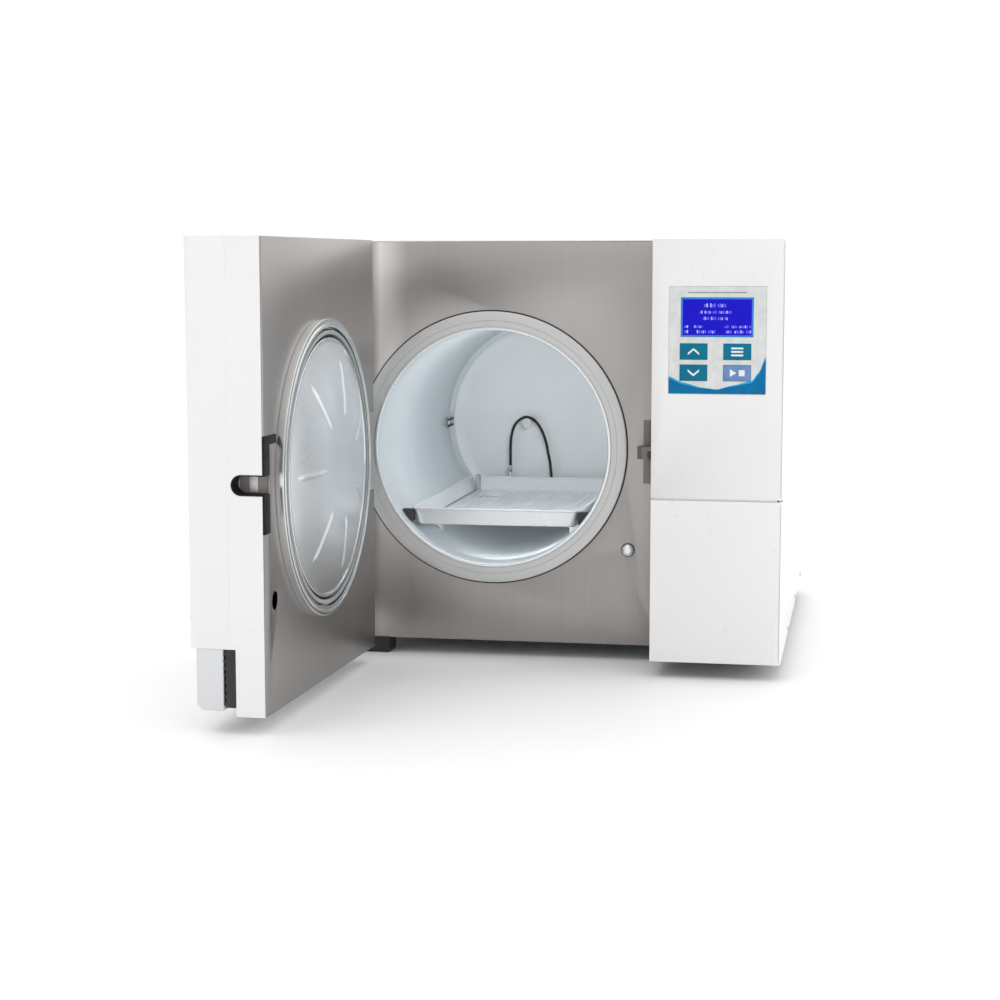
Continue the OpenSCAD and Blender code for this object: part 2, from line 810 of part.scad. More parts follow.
module lock_solenoid() {
    color([0.35, 0.36, 0.38]) difference() {
        union() {
            span(lock_x - 14, lock_x + 14, panel_y + 4, panel_y + 40, lock_z - 14, lock_z + 14);
            span(lock_x - 22, lock_x + 22, panel_y + sheet_t, panel_y + 4.5, lock_z - 14, lock_z + 14);
        }
        rod_y_dir(lock_x, lock_z, panel_y + 1, panel_y + 42, lock_r + fit_gap);
    }
}

module lock_pin() {
    nose = 2.6;
    front = panel_y - 2 - nose;
    length = 42.6;
    color([0.85, 0.85, 0.86])
        translate([lock_x, front, lock_z]) rotate([-90, 0, 0]) rotate_extrude() polygon([
            [0, 0], [lock_r - 3, 0], [lock_r - 1, nose - 1.6], [lock_r, nose], [lock_r, length],
            [0, length]
        ]);
}

module latch_catch() {
    tip_half = 6;
    neck_t = 4;
    color([0.7, 0.7, 0.7]) {
        difference() {
            union() {
                span(col_x + sheet_t, col_x + 4, door_y1 - 33, door_y1 + 3, latch_z - 41, latch_z + 41);
                span(bolt_x, col_x + 2, bolt_y - 8, bolt_y + 8,
                     latch_z + tip_half - neck_t, latch_z + tip_half);
                post(bolt_x, bolt_y, latch_z - tip_half, latch_z + tip_half, 8);
            }
            post(bolt_x, bolt_y, latch_z - 7, latch_z + 7, bolt_r + 0.6);
        }
        span(89.5, 96.5, panel_y - 1, panel_y, 174.5, 236);
    }
}

module hinge_bracket() {
    arm_half = 7;
    arm_z = [177, 238];
    color([0.16, 0.16, 0.17]) difference() {
        union() {
            span(left_x + 4, left_x + 26, panel_y - 4, panel_y, 160, 255);
            span(hinge_x - arm_half, hinge_x + arm_half, hinge_y, panel_y - 3, arm_z[0], arm_z[1]);
            post(hinge_x, hinge_y, arm_z[0], arm_z[1], arm_half + 1);
        }
        post(hinge_x, hinge_y, arm_z[0] - 1, arm_z[1] + 1, hinge_pin_r);
    }
}

module hinge_pin() {
    color([0.8, 0.8, 0.8])
        post(hinge_x, hinge_y, notch[4] - lug_h + 2, notch[5] + lug_h - 2, hinge_pin_r);
}

/* ---- Control keys ---- */

module key_cap(x, z) {
    union() {
        span(x, x + key_w, col_y - 0.6, col_y + 4, z, z + key_h);
        span(x - 1.5, x + key_w + 1.5, col_y + shell_t + 0.1, col_y + 4.1, z - 1.5, z + key_h + 1.5);
        span(x + key_w / 2 - 2, x + key_w / 2 + 2, col_y + 4, col_y + 5.5,
             z + key_h / 2 - 2, z + key_h / 2 + 2);
    }
}

module key_up() color([0, 0.43, 0.59]) key_cap(key_cols[0], key_rows[0]);

module key_down() color([0, 0.43, 0.59]) key_cap(key_cols[0], key_rows[1]);

module key_menu() color([0, 0.43, 0.59]) key_cap(key_cols[1], key_rows[0]);

module key_start() color([0.43, 0.55, 0.75]) key_cap(key_cols[1], key_rows[1]);

/* ---- Door ---- */

// Plan of the door's outer cover, drawn in by an inset, with rounded outer edges
module door_plan(inset) {
    r = door_edge_r - inset;
    x0 = door_x0 + door_edge_r;
    x1 = door_x1 - door_edge_r;
    y0 = door_y0 + inset;
    y_mid = door_y0 + door_edge_r;
    depth = frame_y - y_mid + (inset > 0 ? 1 : 0);
    translate([x0, y0]) square([x1 - x0, y_mid - y0 + eps]);
    translate([x0 - r, y_mid]) square([x1 - x0 + 2 * r, depth]);
    for (x = [x0, x1]) translate([x, y_mid]) circle(r = r);
}

module door_outer_cover() {
    color([0.94, 0.94, 0.94]) swung_open() difference() {
        translate([0, 0, cover_z0]) linear_extrude(top_z - cover_z0) door_plan(0);
        translate([0, 0, cover_z0 + shell_t]) linear_extrude(top_z - cover_z0 - 2 * shell_t)
            door_plan(shell_t);
        hinge_notch();
    }
}

module door_frame() {
    bar = 16;
    lug_x1 = notch[1] + 2;
    lug_y0 = notch[2] - 1.5;
    color([0.92, 0.92, 0.92]) swung_open() difference() {
        union() {
            difference() {
                span(door_x0, door_x1, frame_y, plate_y, foot_h, top_z);
                span(door_x0 + 24, door_x1 - bar - 4, frame_y - 1, plate_y + 1,
                     foot_h + bar, top_z - bar);
            }
            span(door_x0 + shell_t + 2, lug_x1, lug_y0, frame_y + 1,
                 notch[4] - lug_h, notch[5] + lug_h);
            span(door_x0 + 20, lug_x1, frame_y, plate_y, notch[4] - lug_h, notch[5] + lug_h);
        }
        hinge_notch();
        post(hinge_x, hinge_y, notch[4] - lug_h - 1, notch[5] + lug_h + 1, hinge_pin_r + fit_gap);
        span(door_x1 - 16.3, door_x1 - 2, frame_y - 1, door_y1,
             latch_z - frame_half_h - 1.2, latch_z + frame_half_h + 1.2);
        latch_slot(door_x1 - 3, door_x1 + 1, slot_r + 1);
        rod_y_dir(lock_x, lock_z, frame_y - 1, door_y1, lock_r + 2);
        span(door_x0 - 1, door_x1 + 1, frame_y - 1, frame_y + grip_step, foot_h - 1, cover_z0);
    }
}

module door_inner_plate() {
    rim = 0.5;
    color([0.62, 0.6, 0.58]) swung_open() difference() {
        span(door_x0 + rim, door_x1 - rim, plate_y, door_y1, foot_h + rim, top_z - rim);
        hinge_notch();
        span(door_x1 - 14.2, door_x1 + 1, plate_y - 1, door_y1 + 1,
             latch_z - frame_half_h - 0.2, latch_z + frame_half_h + 0.2);
        span(door_x1 - 31.2, door_x1 - 14, plate_y - 1, door_y1 + 1,
             latch_z + frame_half_h - 7.2, latch_z + frame_half_h + 0.2);
        rod_y_dir(lock_x, lock_z, plate_y - 1, door_y1 + 1, lock_r + 2);
    }
}

module door_grip() {
    lip_y0 = door_y0 + 7;
    lip_y1 = door_y0 + 30.5;
    lip_z = 19;
    lip_r = 8;
    color([0.8, 0.81, 0.82]) swung_open()
        difference() {
            union() {
                span(door_x0, door_x1, lip_y0, lip_y1, lip_z + lip_r, cover_z0);
                span(door_x0, door_x1, lip_y0 + lip_r, lip_y1, lip_z, cover_z0);
                rod_x_dir(lip_y0 + lip_r, lip_z + lip_r, door_x0, door_x1, lip_r);
            }
            span(door_x0 + 4, door_x1 - 4, lip_y0 + 4, lip_y1 + 1, lip_z + 4, cover_z0 - 4);
        }
}

module grip_insert() {
    y0 = door_y0 + 30.5;
    rib = 2.4;
    color([0.1, 0.1, 0.11]) swung_open() {
        span(door_x0 + 0.5, door_x1 - 0.5, y0 + 2, frame_y + grip_step, 22, cover_z0);
        for (z = [24:6:66]) span(door_x0 + 0.5, door_x1 - 0.5, y0 + 0.1, y0 + 3, z, z + rib);
    }
}

module pressure_disc() {
    rim_h = 7.6;
    dome_r = 100;
    rise = dome_h - rim_h;
    ball_r = (dome_r * dome_r + rise * rise) / (2 * rise);
    color([0.82, 0.84, 0.86]) swung_open() on_axis(door_y1) {
        rotate_extrude($fn = 96) polygon([
            [0, 0], [disc_r, 0], [disc_r, rim_h - 1.5], [disc_r - 1.5, rim_h], [121, rim_h],
            [121, 3.4], [115.6, 3.4], [115.6, rim_h - 1], [102, rim_h - 1], [dome_r, rim_h - 0.1],
            [0, rim_h - 0.1]
        ]);
        intersection() {
            translate([0, 0, dome_h - ball_r]) sphere(r = ball_r, $fn = 96);
            translate([0, 0, rim_h - 1]) cylinder(r = dome_r, h = dome_h, $fn = 96);
        }
    }
}

module door_gasket() {
    color([0.1, 0.1, 0.1]) swung_open() on_axis(door_y1 + 3.5)
        difference() {
            cylinder(r = 120.8, h = 4.1, $fn = 96);
            translate([0, 0, -1]) cylinder(r = 115.8, h = 7, $fn = 96);
        }
}

module latch_frame() {
    x0 = door_x1 - 16;
    strip_w = 14;
    arm_l = 31;
    color([0.05, 0.05, 0.05]) swung_open() difference() {
        union() {
            span(x0, door_x1 - 2.2, frame_y + 1.5, plate_y, latch_z - frame_half_h - 1,
                 latch_z + frame_half_h + 1);
            span(door_x1 - strip_w, door_x1 - 2.2, plate_y - eps, door_y1 + 0.4,
                 latch_z - frame_half_h, latch_z + frame_half_h);
            span(door_x1 - 3, door_x1, plate_y, door_y1 + 0.4,
                 latch_z - frame_half_h, latch_z + frame_half_h);
            span(door_x1 - arm_l, door_x1 - strip_w + eps, plate_y, door_y1 + 0.4,
                 latch_z + frame_half_h - 7, latch_z + frame_half_h);
            intersection() {
                latch_slot(door_x1 - 3, door_x1 + 0.3, slot_r + 0.8);
                span(door_x1 - 3, door_x1 + 1, frame_y, plate_y + eps, latch_z - 20, latch_z + 20);
            }
        }
        latch_slot(x0 - 2, door_x1 + 1, slot_r);
        post(bolt_x, bolt_y, latch_z, bolt_z0 + bolt_l + 3, bolt_r + fit_gap);
    }
}

module latch_bolt() {
    color([0.85, 0.85, 0.85]) swung_open()
        post(bolt_x, bolt_y, bolt_z0, bolt_z0 + bolt_l, bolt_r);
}

base_pan();
feet();
front_steel_panel();
cabinet_cover();
rear_panel();
column_bezel();
column_side_wall();
control_overlay();
lcd_module();
control_board();
chamber_vessel();
chamber_flange_ring();
insulation_jacket();
band_heaters();
chamber_saddles();
tray_rack();
tray_bumpers();
probe_gland();
probe_hook();
probe_lead();
probe_tip();
water_reservoir();
water_pump();
solenoid_valves();
condenser();
fan_frame();
safety_valve_body();
power_supply();
mains_inlet();
power_switch_body();
service_panel();
drain_valve_bodies();
service_hinge_rod();
lock_solenoid();
latch_catch();
hinge_bracket();
hinge_pin();
rear_spigots();
tray();
reservoir_cap();
fan_rotor();
safety_valve_ring();
power_rocker();
drain_knob_left();
drain_knob_right();
service_door();
lock_pin();
key_up();
key_down();
key_menu();
key_start();
door_outer_cover();
door_frame();
door_inner_plate();
door_grip();
grip_insert();
pressure_disc();
door_gasket();
latch_frame();
latch_bolt();
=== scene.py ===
"""Looks of a benchtop autoclave with its round-doored chamber standing open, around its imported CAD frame."""
import json
import math

import bmesh
import bpy
from mathutils import Matrix, Vector

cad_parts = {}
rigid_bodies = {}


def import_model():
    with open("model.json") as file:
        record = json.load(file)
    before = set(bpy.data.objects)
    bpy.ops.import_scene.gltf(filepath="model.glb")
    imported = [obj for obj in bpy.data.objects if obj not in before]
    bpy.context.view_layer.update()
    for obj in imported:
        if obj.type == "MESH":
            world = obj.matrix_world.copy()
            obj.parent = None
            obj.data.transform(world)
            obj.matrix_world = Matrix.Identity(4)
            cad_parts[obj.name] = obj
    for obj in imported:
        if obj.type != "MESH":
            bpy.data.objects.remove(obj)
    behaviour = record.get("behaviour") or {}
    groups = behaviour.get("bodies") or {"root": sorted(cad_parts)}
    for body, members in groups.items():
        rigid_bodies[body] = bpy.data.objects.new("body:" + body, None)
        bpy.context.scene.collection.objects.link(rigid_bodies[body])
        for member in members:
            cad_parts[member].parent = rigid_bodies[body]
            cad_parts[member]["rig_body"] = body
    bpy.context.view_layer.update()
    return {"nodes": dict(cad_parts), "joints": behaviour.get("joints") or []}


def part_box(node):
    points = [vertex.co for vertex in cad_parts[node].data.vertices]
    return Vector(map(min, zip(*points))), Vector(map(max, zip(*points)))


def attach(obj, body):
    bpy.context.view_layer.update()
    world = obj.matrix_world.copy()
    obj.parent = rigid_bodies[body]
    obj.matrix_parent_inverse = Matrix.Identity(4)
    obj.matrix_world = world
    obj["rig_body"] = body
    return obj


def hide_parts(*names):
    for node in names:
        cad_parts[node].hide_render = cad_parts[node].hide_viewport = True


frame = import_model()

MM = 0.001
TAU = 2 * math.pi
NODES = frame["nodes"]
JOINTS = {j["name"]: j for j in frame["joints"]}

# ---- Places, all from the frame ----


def centre_of(node):
    """Middle of a CAD node's box."""
    low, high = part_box(node)
    return (low + high) / 2


PANEL_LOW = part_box("front_steel_panel")[0]
RING_LOW, RING_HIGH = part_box("chamber_flange_ring")
VESSEL_LOW, VESSEL_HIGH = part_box("chamber_vessel")
AXIS_X = (RING_LOW.x + RING_HIGH.x) / 2
AXIS_Z = (RING_LOW.z + RING_HIGH.z) / 2
RING_R = (RING_HIGH.x - RING_LOW.x) / 2
VESSEL_R = (VESSEL_HIGH.x - VESSEL_LOW.x) / 2
WALL = 3 * MM
CHAMBER_R = VESSEL_R - WALL
HINGE = Vector(JOINTS["door_hinge"]["pos_m"])
OPEN = math.radians(JOINTS["door_hinge"]["range_deg"][1])
SWING = Matrix.Translation(HINGE) @ Matrix.Rotation(-OPEN, 4, "Z") @ Matrix.Translation(-HINGE)
UNSWING = SWING.inverted()


def closed_box(node):
    """Box of a door node with the door shut."""
    points = [UNSWING @ v.co for v in NODES[node].data.vertices]
    low = Vector([min(p[i] for p in points) for i in range(3)])
    high = Vector([max(p[i] for p in points) for i in range(3)])
    return low, high


PLATE_HIGH = closed_box("door_inner_plate")[1]
DISC_LOW, DISC_HIGH = closed_box("pressure_disc")
FACE_Y = PLATE_HIGH.y


# ---- Camera ----


CAMERA_PLACE = (0.3038, -2.1755, 0.3866)
CAMERA_DOWN, CAMERA_LEFT = 6.65, 10.33
CAMERA_LENS, CAMERA_SENSOR = 73.1, 36


def make_camera():
    """The viewing point: a little right of the column, at the height of the cabinet's top."""
    camera = bpy.data.objects.new("camera", bpy.data.cameras.new("camera"))
    bpy.context.scene.collection.objects.link(camera)
    camera.location = CAMERA_PLACE
    camera.rotation_euler = (math.radians(90 - CAMERA_DOWN), 0, math.radians(CAMERA_LEFT))
    camera.data.lens = CAMERA_LENS
    camera.data.sensor_width = CAMERA_SENSOR
    camera.data.clip_start = 0.05
    camera.data.clip_end = 60
    bpy.context.scene.camera = camera


make_camera()


# ---- Materials ----


class Shader:
    """A material's node tree, with short calls to add and join its nodes."""

    def __init__(self, name, colour, roughness, metallic=0.0):
        self.material = bpy.data.materials.new(name)
        self.material.use_nodes = True
        self.tree = self.material.node_tree
        self.surface = self.tree.nodes["Principled BSDF"]
        self.set("Base Color", (*colour, 1))
        self.set("Roughness", roughness)
        self.set("Metallic", metallic)
        self.material.diffuse_color = (*colour, 1)
        self.place = self.tree.nodes.new("ShaderNodeTexCoord").outputs["Object"]

    def set(self, socket, value):
        self.surface.inputs[socket].default_value = value

    def join(self, output, socket):
        self.tree.links.new(output, self.surface.inputs[socket])

    def scaled(self, scale):
        """The object's own coordinates, in metres, times a scale for each axis."""
        node = self.tree.nodes.new("ShaderNodeMapping")
        node.inputs["Scale"].default_value = scale
        self.tree.links.new(self.place, node.inputs["Vector"])
        return node.outputs["Vector"]

    def noise(self, scale, detail=3.0, stretch=(1, 1, 1), rough=0.5):
        node = self.tree.nodes.new("ShaderNodeTexNoise")
        node.inputs["Scale"].default_value = scale
        node.inputs["Detail"].default_value = detail
        node.inputs["Roughness"].default_value = rough
        self.tree.links.new(self.scaled(stretch), node.inputs["Vector"])
        return node.outputs["Fac"]

    def ramp(self, value, stops):
        """A smooth run of values or colours over 0 to 1: stops are (place, colour)."""
        node = self.tree.nodes.new("ShaderNodeValToRGB")
        while len(node.color_ramp.elements) < len(stops):
            node.color_ramp.elements.new(0.5)
        for element, (place, colour) in zip(node.color_ramp.elements, stops):
            element.position = place
            element.color = (*colour, 1) if hasattr(colour, "__len__") else (colour, colour, colour, 1)
        self.tree.links.new(value, node.inputs["Fac"])
        return node.outputs["Color"]

    def blend(self, factor, a, b, mode="MIX"):
        node = self.tree.nodes.new("ShaderNodeMix")
        node.data_type = "RGBA"
        node.blend_type = mode
        for socket, value in ((node.inputs[0], factor), (node.inputs[6], a), (node.inputs[7], b)):
            if hasattr(value, "is_linked"):
                self.tree.links.new(value, socket)
            elif hasattr(value, "__len__"):
                socket.default_value = (*value, 1)
            else:
                socket.default_value = value
        return node.outputs[2]

    def way(self, axis, low, high):
        """How far along an axis a point is, from 0 at low to 1 at high, in metres."""
        split = self.tree.nodes.new("ShaderNodeSeparateXYZ")
        self.tree.links.new(self.place, split.inputs[0])
        node = self.tree.nodes.new("ShaderNodeMapRange")
        node.inputs["From Min"].default_value = low
        node.inputs["From Max"].default_value = high
        self.tree.links.new(split.outputs[axis], node.inputs["Value"])
        return node.outputs["Result"]

    def bump(self, height, strength, distance=0.0002):
        node = self.tree.nodes.new("ShaderNodeBump")
        node.inputs["Strength"].default_value = strength
        node.inputs["Distance"].default_value = distance
        self.tree.links.new(height, node.inputs["Height"])
        self.join(node.outputs["Normal"], "Normal")


def tone(colour, factor):
    """A colour made lighter or darker."""
    return tuple(min(1.0, c * factor) for c in colour)


def enamel(name, colour, roughness=0.36):
    """Powder-coated or moulded white: a fine orange peel under a faint satin coat."""
    shader = Shader(name, colour, roughness)
    cloud = shader.ramp(shader.noise(9), [(0.3, tone(colour, 0.985)), (0.7, tone(colour, 1.01))])
    shader.join(cloud, "Base Color")
    shader.join(shader.ramp(shader.noise(60), [(0.3, roughness - 0.05), (0.7, roughness + 0.07)]),
                "Roughness")
    shader.set("Coat Weight", 0.12)
    shader.set("Coat Roughness", 0.25)
    shader.bump(shader.noise(1100, 2), 0.05, 0.00008)
    return shader.material


def brushed(name, light, dark, painted_sheen_band=None, roughness=0.34):
    """Brushed stainless sheet with upright grain, with painted shade that makes it a little darker towards the
    bench, and a painted highlight band across the span given for the sheen.
    """
    shader = Shader(name, light, roughness, 1.0)
    grain = shader.noise(1, 5, (2600, 2600, 9), 0.65)
    broad = shader.noise(1, 2, (14, 14, 2.2))
    # Painted shade: the dark colour low down, rising to the light colour higher up.
    rise = shader.ramp(shader.way("Z", 0.0, 0.40), [(0.0, dark), (0.55, light), (1.0, tone(light, 1.05))])
    # Painted highlight: a bright band across the given span of X, strongest high on the sheet.
    if painted_sheen_band:
        near = shader.ramp(shader.way("X", *painted_sheen_band), [(0.0, 0.0), (0.22, 1.0), (1.0, 0.0)])
        high = shader.ramp(shader.way("Z", 0.05, 0.36), [(0.0, 0.15), (1.0, 1.0)])
        both = shader.blend(1.0, near, high, "MULTIPLY")
        rise = shader.blend(both, rise, tone(light, 2.0))
    streaked = shader.blend(0.30, rise, shader.ramp(grain, [(0.25, 0.35), (0.75, 1.0)]), "MULTIPLY")
    clouded = shader.blend(0.25, streaked, shader.ramp(broad, [(0.3, 0.8), (0.7, 1.0)]), "MULTIPLY")
    shader.join(clouded, "Base Color")
    shader.join(shader.ramp(grain, [(0.2, roughness - 0.06), (0.8, roughness + 0.12)]), "Roughness")
    shader.bump(grain, 0.10, 0.00005)
    return shader.material


def polished(name, colour, roughness=0.2, grain_axis=(300, 40, 300), strength=0.05):
    """Drawn or electropolished stainless: soft clouds and faint drawing lines."""
    shader = Shader(name, colour, roughness, 1.0)
    lines = shader.noise(1, 4, grain_axis, 0.6)
    cloud = shader.noise(14, 3)
    shader.join(shader.ramp(cloud, [(0.3, tone(colour, 0.92)), (0.7, tone(colour, 1.05))]), "Base Color")
    shader.join(shader.ramp(lines, [(0.25, roughness - 0.04), (0.75, roughness + 0.07)]), "Roughness")
    shader.bump(lines, strength, 0.00006)
    return shader.material


def satin(name, colour, roughness=0.3, metallic=1.0, spread=0.03, shaded_below=None):
    """Smooth sheet or turned steel: a fine tooling haze, with painted shade that darkens it below the given
    heights.
    """
    shader = Shader(name, colour, roughness, metallic)
    haze = shader.noise(22, 4)
    fine = shader.noise(700, 2)
    even = shader.ramp(haze, [(0.3, tone(colour, 1 - spread)), (0.7, tone(colour, 1 + spread))])
    # Painted shade: darker towards the bottom, below the given heights.
    if shaded_below:
        shade = shader.ramp(shader.way("Z", *shaded_below), [(0.0, 0.55), (1.0, 1.0)])
        even = shader.blend(1.0, even, shade, "MULTIPLY")
    tooled = shader.ramp(fine, [(0.3, 0.8), (0.7, 1.0)])
    shader.join(shader.blend(0.12, even, tooled, "MULTIPLY"), "Base Color")
    shader.join(shader.ramp(haze, [(0.3, roughness - 0.03), (0.7, roughness + 0.05)]), "Roughness")
    shader.bump(fine, 0.03, 0.00003)
    return shader.material


def plastic(name, colour, roughness=0.5, texture=900, strength=0.12, gloss=0.5):
    """Moulded plastic or rubber with a fine spark-eroded grain."""
    shader = Shader(name, colour, roughness)
    shader.set("Specular IOR Level", gloss)
    cloud = shader.noise(25, 3)
    shader.join(shader.ramp(cloud, [(0.3, tone(colour, 0.9)), (0.7, tone(colour, 1.1))]), "Base Color")
    shader.join(shader.ramp(shader.noise(140), [(0.3, roughness - 0.06), (0.7, roughness + 0.08)]),
                "Roughness")
    shader.bump(shader.noise(texture, 2), strength, 0.0001)
    return shader.material


def printed(name, colour, glow=0.0):
    """Ink printed behind a satin film, with a barely visible screen texture."""
    shader = Shader(name, colour, 0.42)
    shader.set("Specular IOR Level", 0.15)
    shader.join(shader.ramp(shader.noise(120, 2), [(0.35, tone(colour, 0.94)), (0.65, tone(colour, 1.05))]),
                "Base Color")
    shader.bump(shader.noise(2200, 1), 0.04, 0.00004)
    if glow:
        shader.set("Emission Color", (*colour, 1))
        shader.set("Emission Strength", glow)
    return shader.material


WHITE = enamel("white_enamel", (0.83, 0.83, 0.835))
WHITE_MOULDED = enamel("white_moulding", (0.84, 0.84, 0.845), 0.32)
# Painted shade darkens both brushed steels towards the bench; the panel also gets a painted highlight band
# near its left edge.
PANEL_STEEL = brushed("brushed_panel_steel", (0.49, 0.465, 0.45), (0.40, 0.375, 0.36),
                      (PANEL_LOW.x + 46 * MM, PANEL_LOW.x + 82 * MM))
DOOR_STEEL = brushed("brushed_door_steel", (0.46, 0.44, 0.425), (0.35, 0.335, 0.325))
CHAMBER = satin("chamber_stainless", (0.64, 0.69, 0.72), 0.38, 0.4)
BACK_PLATE = satin("back_plate_stainless", (0.83, 0.85, 0.86), 0.45, 0.4)
RING_STEEL = satin("flange_ring_steel", (0.63, 0.635, 0.63), 0.42, 0.6, 0.02)
LIP_STEEL = satin("mouth_lip_steel", (0.78, 0.80, 0.81), 0.22, 0.9)
# The dome's steel carries painted shade on its lower part.
DISC_STEEL = satin("disc_stainless", (0.78, 0.81, 0.835), 0.30, 0.75, 0.03, (AXIS_Z - 0.11, AXIS_Z - 0.04))
RIM_STEEL = satin("disc_rim_steel", (0.74, 0.75, 0.75), 0.2)
SEAL_GREY = plastic("grey_silicone_seal", (0.30, 0.31, 0.315), 0.5, 600, 0.05)
TRAY_STEEL = satin("tray_stainless", (0.84, 0.86, 0.875), 0.3, 0.55)
CATCH_STEEL = satin("catch_steel", (0.21, 0.196, 0.185), 0.4, 0.8)
KEEPER_STEEL = satin("keeper_steel", (0.85, 0.80, 0.79), 0.36, 0.3)
LINER = plastic("slot_liner", (0.34, 0.32, 0.31), 0.55)
PIN_STEEL = polished("pin_steel", (0.7, 0.7, 0.69), 0.18)
SHEET_STEEL = polished("galvanised_sheet", (0.55, 0.57, 0.58), 0.4)
RUBBER = plastic("black_rubber", (0.018, 0.018, 0.019), 0.6, 500)
BUMPER = plastic("bumper_rubber", (0.035, 0.037, 0.04), 0.5, 500)
BLACK = plastic("black_plastic", (0.02, 0.02, 0.021), 0.45)
FRAME_BLACK = plastic("black_latch_frame", (0.012, 0.012, 0.012), 0.6, gloss=0.2)
# Grey for the painted shade line along the column's front edge.
EDGE_SHADE_GREY = plastic("edge_shade_grey", (0.52, 0.52, 0.525), 0.5)
DARK_IRON = plastic("black_hinge_iron", (0.03, 0.03, 0.032), 0.38, 300, 0.2)
GRIP_GREY = enamel("grip_moulding", (0.70, 0.71, 0.72), 0.42)
FILM = printed("overlay_film", (0.68, 0.70, 0.69))
SILICONE = plastic("black_silicone_lead", (0.012, 0.012, 0.012), 0.42, 1500, 0.05)
BRASS = polished("brass", (0.66, 0.47, 0.2), 0.3)
COPPER = polished("copper", (0.72, 0.38, 0.24), 0.3)
WOOL = plastic("insulation_wool", (0.62, 0.55, 0.38), 0.9, 220, 0.8)
TANK = plastic("tank_polyethylene", (0.72, 0.76, 0.78), 0.4, 200, 0.1)
BLUE = plastic("blue_plastic", (0.03, 0.12, 0.34), 0.35)
RED = plastic("red_plastic", (0.5, 0.02, 0.015), 0.25)
BOARD = plastic("circuit_board", (0.01, 0.13, 0.05), 0.35, 1200, 0.25)
TEAL = printed("teal_key_film", (0.0, 0.165, 0.275))
PALE_BLUE = printed("pale_blue_key_film", (0.155, 0.265, 0.52))
SWOOSH = printed("swoosh_ink", (0.0, 0.155, 0.36))
SWOOSH_LIGHT = printed("swoosh_light_ink", (0.02, 0.36, 0.62))
WHITE_INK = printed("white_ink", (0.8, 0.85, 0.88))
GREY_INK = printed("grey_ink", (0.3, 0.34, 0.35))
SCREEN = printed("display_glass", (0.005, 0.002, 0.40), 0.42)
SCREEN_EDGE = printed("display_edge", (0.03, 0.20, 0.60), 0.2)
SCREEN_TEXT = printed("display_text", (0.10, 0.09, 0.62), 0.4)
SCREEN_BRIGHT = printed("display_bright_text", (0.34, 0.36, 0.72), 0.35)


# ---- Mesh helpers ----


def finish_mesh(name, mesh, material, body, swung=False, smooth_angle=35):
    """An object for a mesh in the row frame: shaded, finished, riding on its body."""
    if swung:
        mesh.transform(SWING)
    mesh.materials.clear()
    mesh.materials.append(material)
    for polygon in mesh.polygons:
        polygon.use_smooth = True
    mesh.set_sharp_from_angle(angle=math.radians(smooth_angle))
    piece = bpy.data.objects.new(name, mesh)
    bpy.context.scene.collection.objects.link(piece)
    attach(piece, body)
    return piece


def mesh_from(bm, name):
    """Turns a bmesh into a mesh, with its faces looking outward."""
    bmesh.ops.recalc_face_normals(bm, faces=bm.faces)
    mesh = bpy.data.meshes.new(name)
    bm.to_mesh(mesh)
    bm.free()
    return mesh


def rounded(points, radius, steps=4):
    """A closed outline with each corner turned into a small curve."""
    out = []
    count = len(points)
    for i, p in enumerate(points):
        here = Vector(p)
        back = Vector(points[i - 1]) - here
        ahead = Vector(points[(i + 1) % count]) - here
        if here.x < 1e-9:
            out.append(tuple(here))
            continue
        cut_back = here + back.normalized() * min(radius, back.length * 0.45)
        cut_ahead = here + ahead.normalized() * min(radius, ahead.length * 0.45)
        for k in range(steps + 1):
            t = k / steps
            out.append(tuple((1 - t) ** 2 * cut_back + 2 * t * (1 - t) * here + t * t * cut_ahead))
    return out


def lathe(name, outline, centre, material, body, steps=180, swung=False, axis="Y"):
    """A closed outline of (radius, way along the axis) turned about the axis through centre."""
    bm = bmesh.new()
    rings = []
    for i in range(steps):
        turn = TAU * i / steps
        c, s = math.cos(turn), math.sin(turn)
        if axis == "Y":
            rings.append([bm.verts.new(centre + Vector((r * c, h, r * s))) for r, h in outline])
        else:
            rings.append([bm.verts.new(centre + Vector((r * c, r * s, h))) for r, h in outline])
    count = len(outline)
    for i in range(steps):
        here, there = rings[i], rings[(i + 1) % steps]
        for j in range(count):
            k = (j + 1) % count
            if outline[j][0] < 1e-9 and outline[k][0] < 1e-9:
                continue
            bm.faces.new((here[j], here[k], there[k], there[j]))
    bmesh.ops.remove_doubles(bm, verts=bm.verts, dist=1e-7)
    return finish_mesh(name, mesh_from(bm, name), material, body, swung)


def softened(node, width, material, segments=3, body=None):
    """A copy of a CAD node with its sharp edges broken, standing for the node."""
    bm = bmesh.new()
    bm.from_mesh(NODES[node].data)
    bmesh.ops.remove_doubles(bm, verts=bm.verts, dist=2e-6)
    bmesh.ops.dissolve_limit(bm, angle_limit=math.radians(0.5), verts=bm.verts, edges=bm.edges)
    name = node + ".shell"
    work = bpy.data.objects.new(name + ".work", mesh_from(bm, name + ".work"))
    bpy.context.scene.collection.objects.link(work)
    bevel = work.modifiers.new("bevel", "BEVEL")
    bevel.width = width
    bevel.segments = segments
    bevel.limit_method = "ANGLE"
    bevel.angle_limit = math.radians(35)
    bevel.use_clamp_overlap = True
    normals = work.modifiers.new("normals", "WEIGHTED_NORMAL")
    normals.keep_sharp = True
    bpy.context.view_layer.update()
    mesh = bpy.data.meshes.new_from_object(work.evaluated_get(bpy.context.evaluated_depsgraph_get()))
    bpy.data.objects.remove(work)
    mesh.name = name
    mesh.materials.clear()
    mesh.materials.append(material)
    for polygon in mesh.polygons:
        polygon.use_smooth = True
    piece = bpy.data.objects.new(name, mesh)
    bpy.context.scene.collection.objects.link(piece)
    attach(piece, body or NODES[node]["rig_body"])
    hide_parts(node)
    return piece


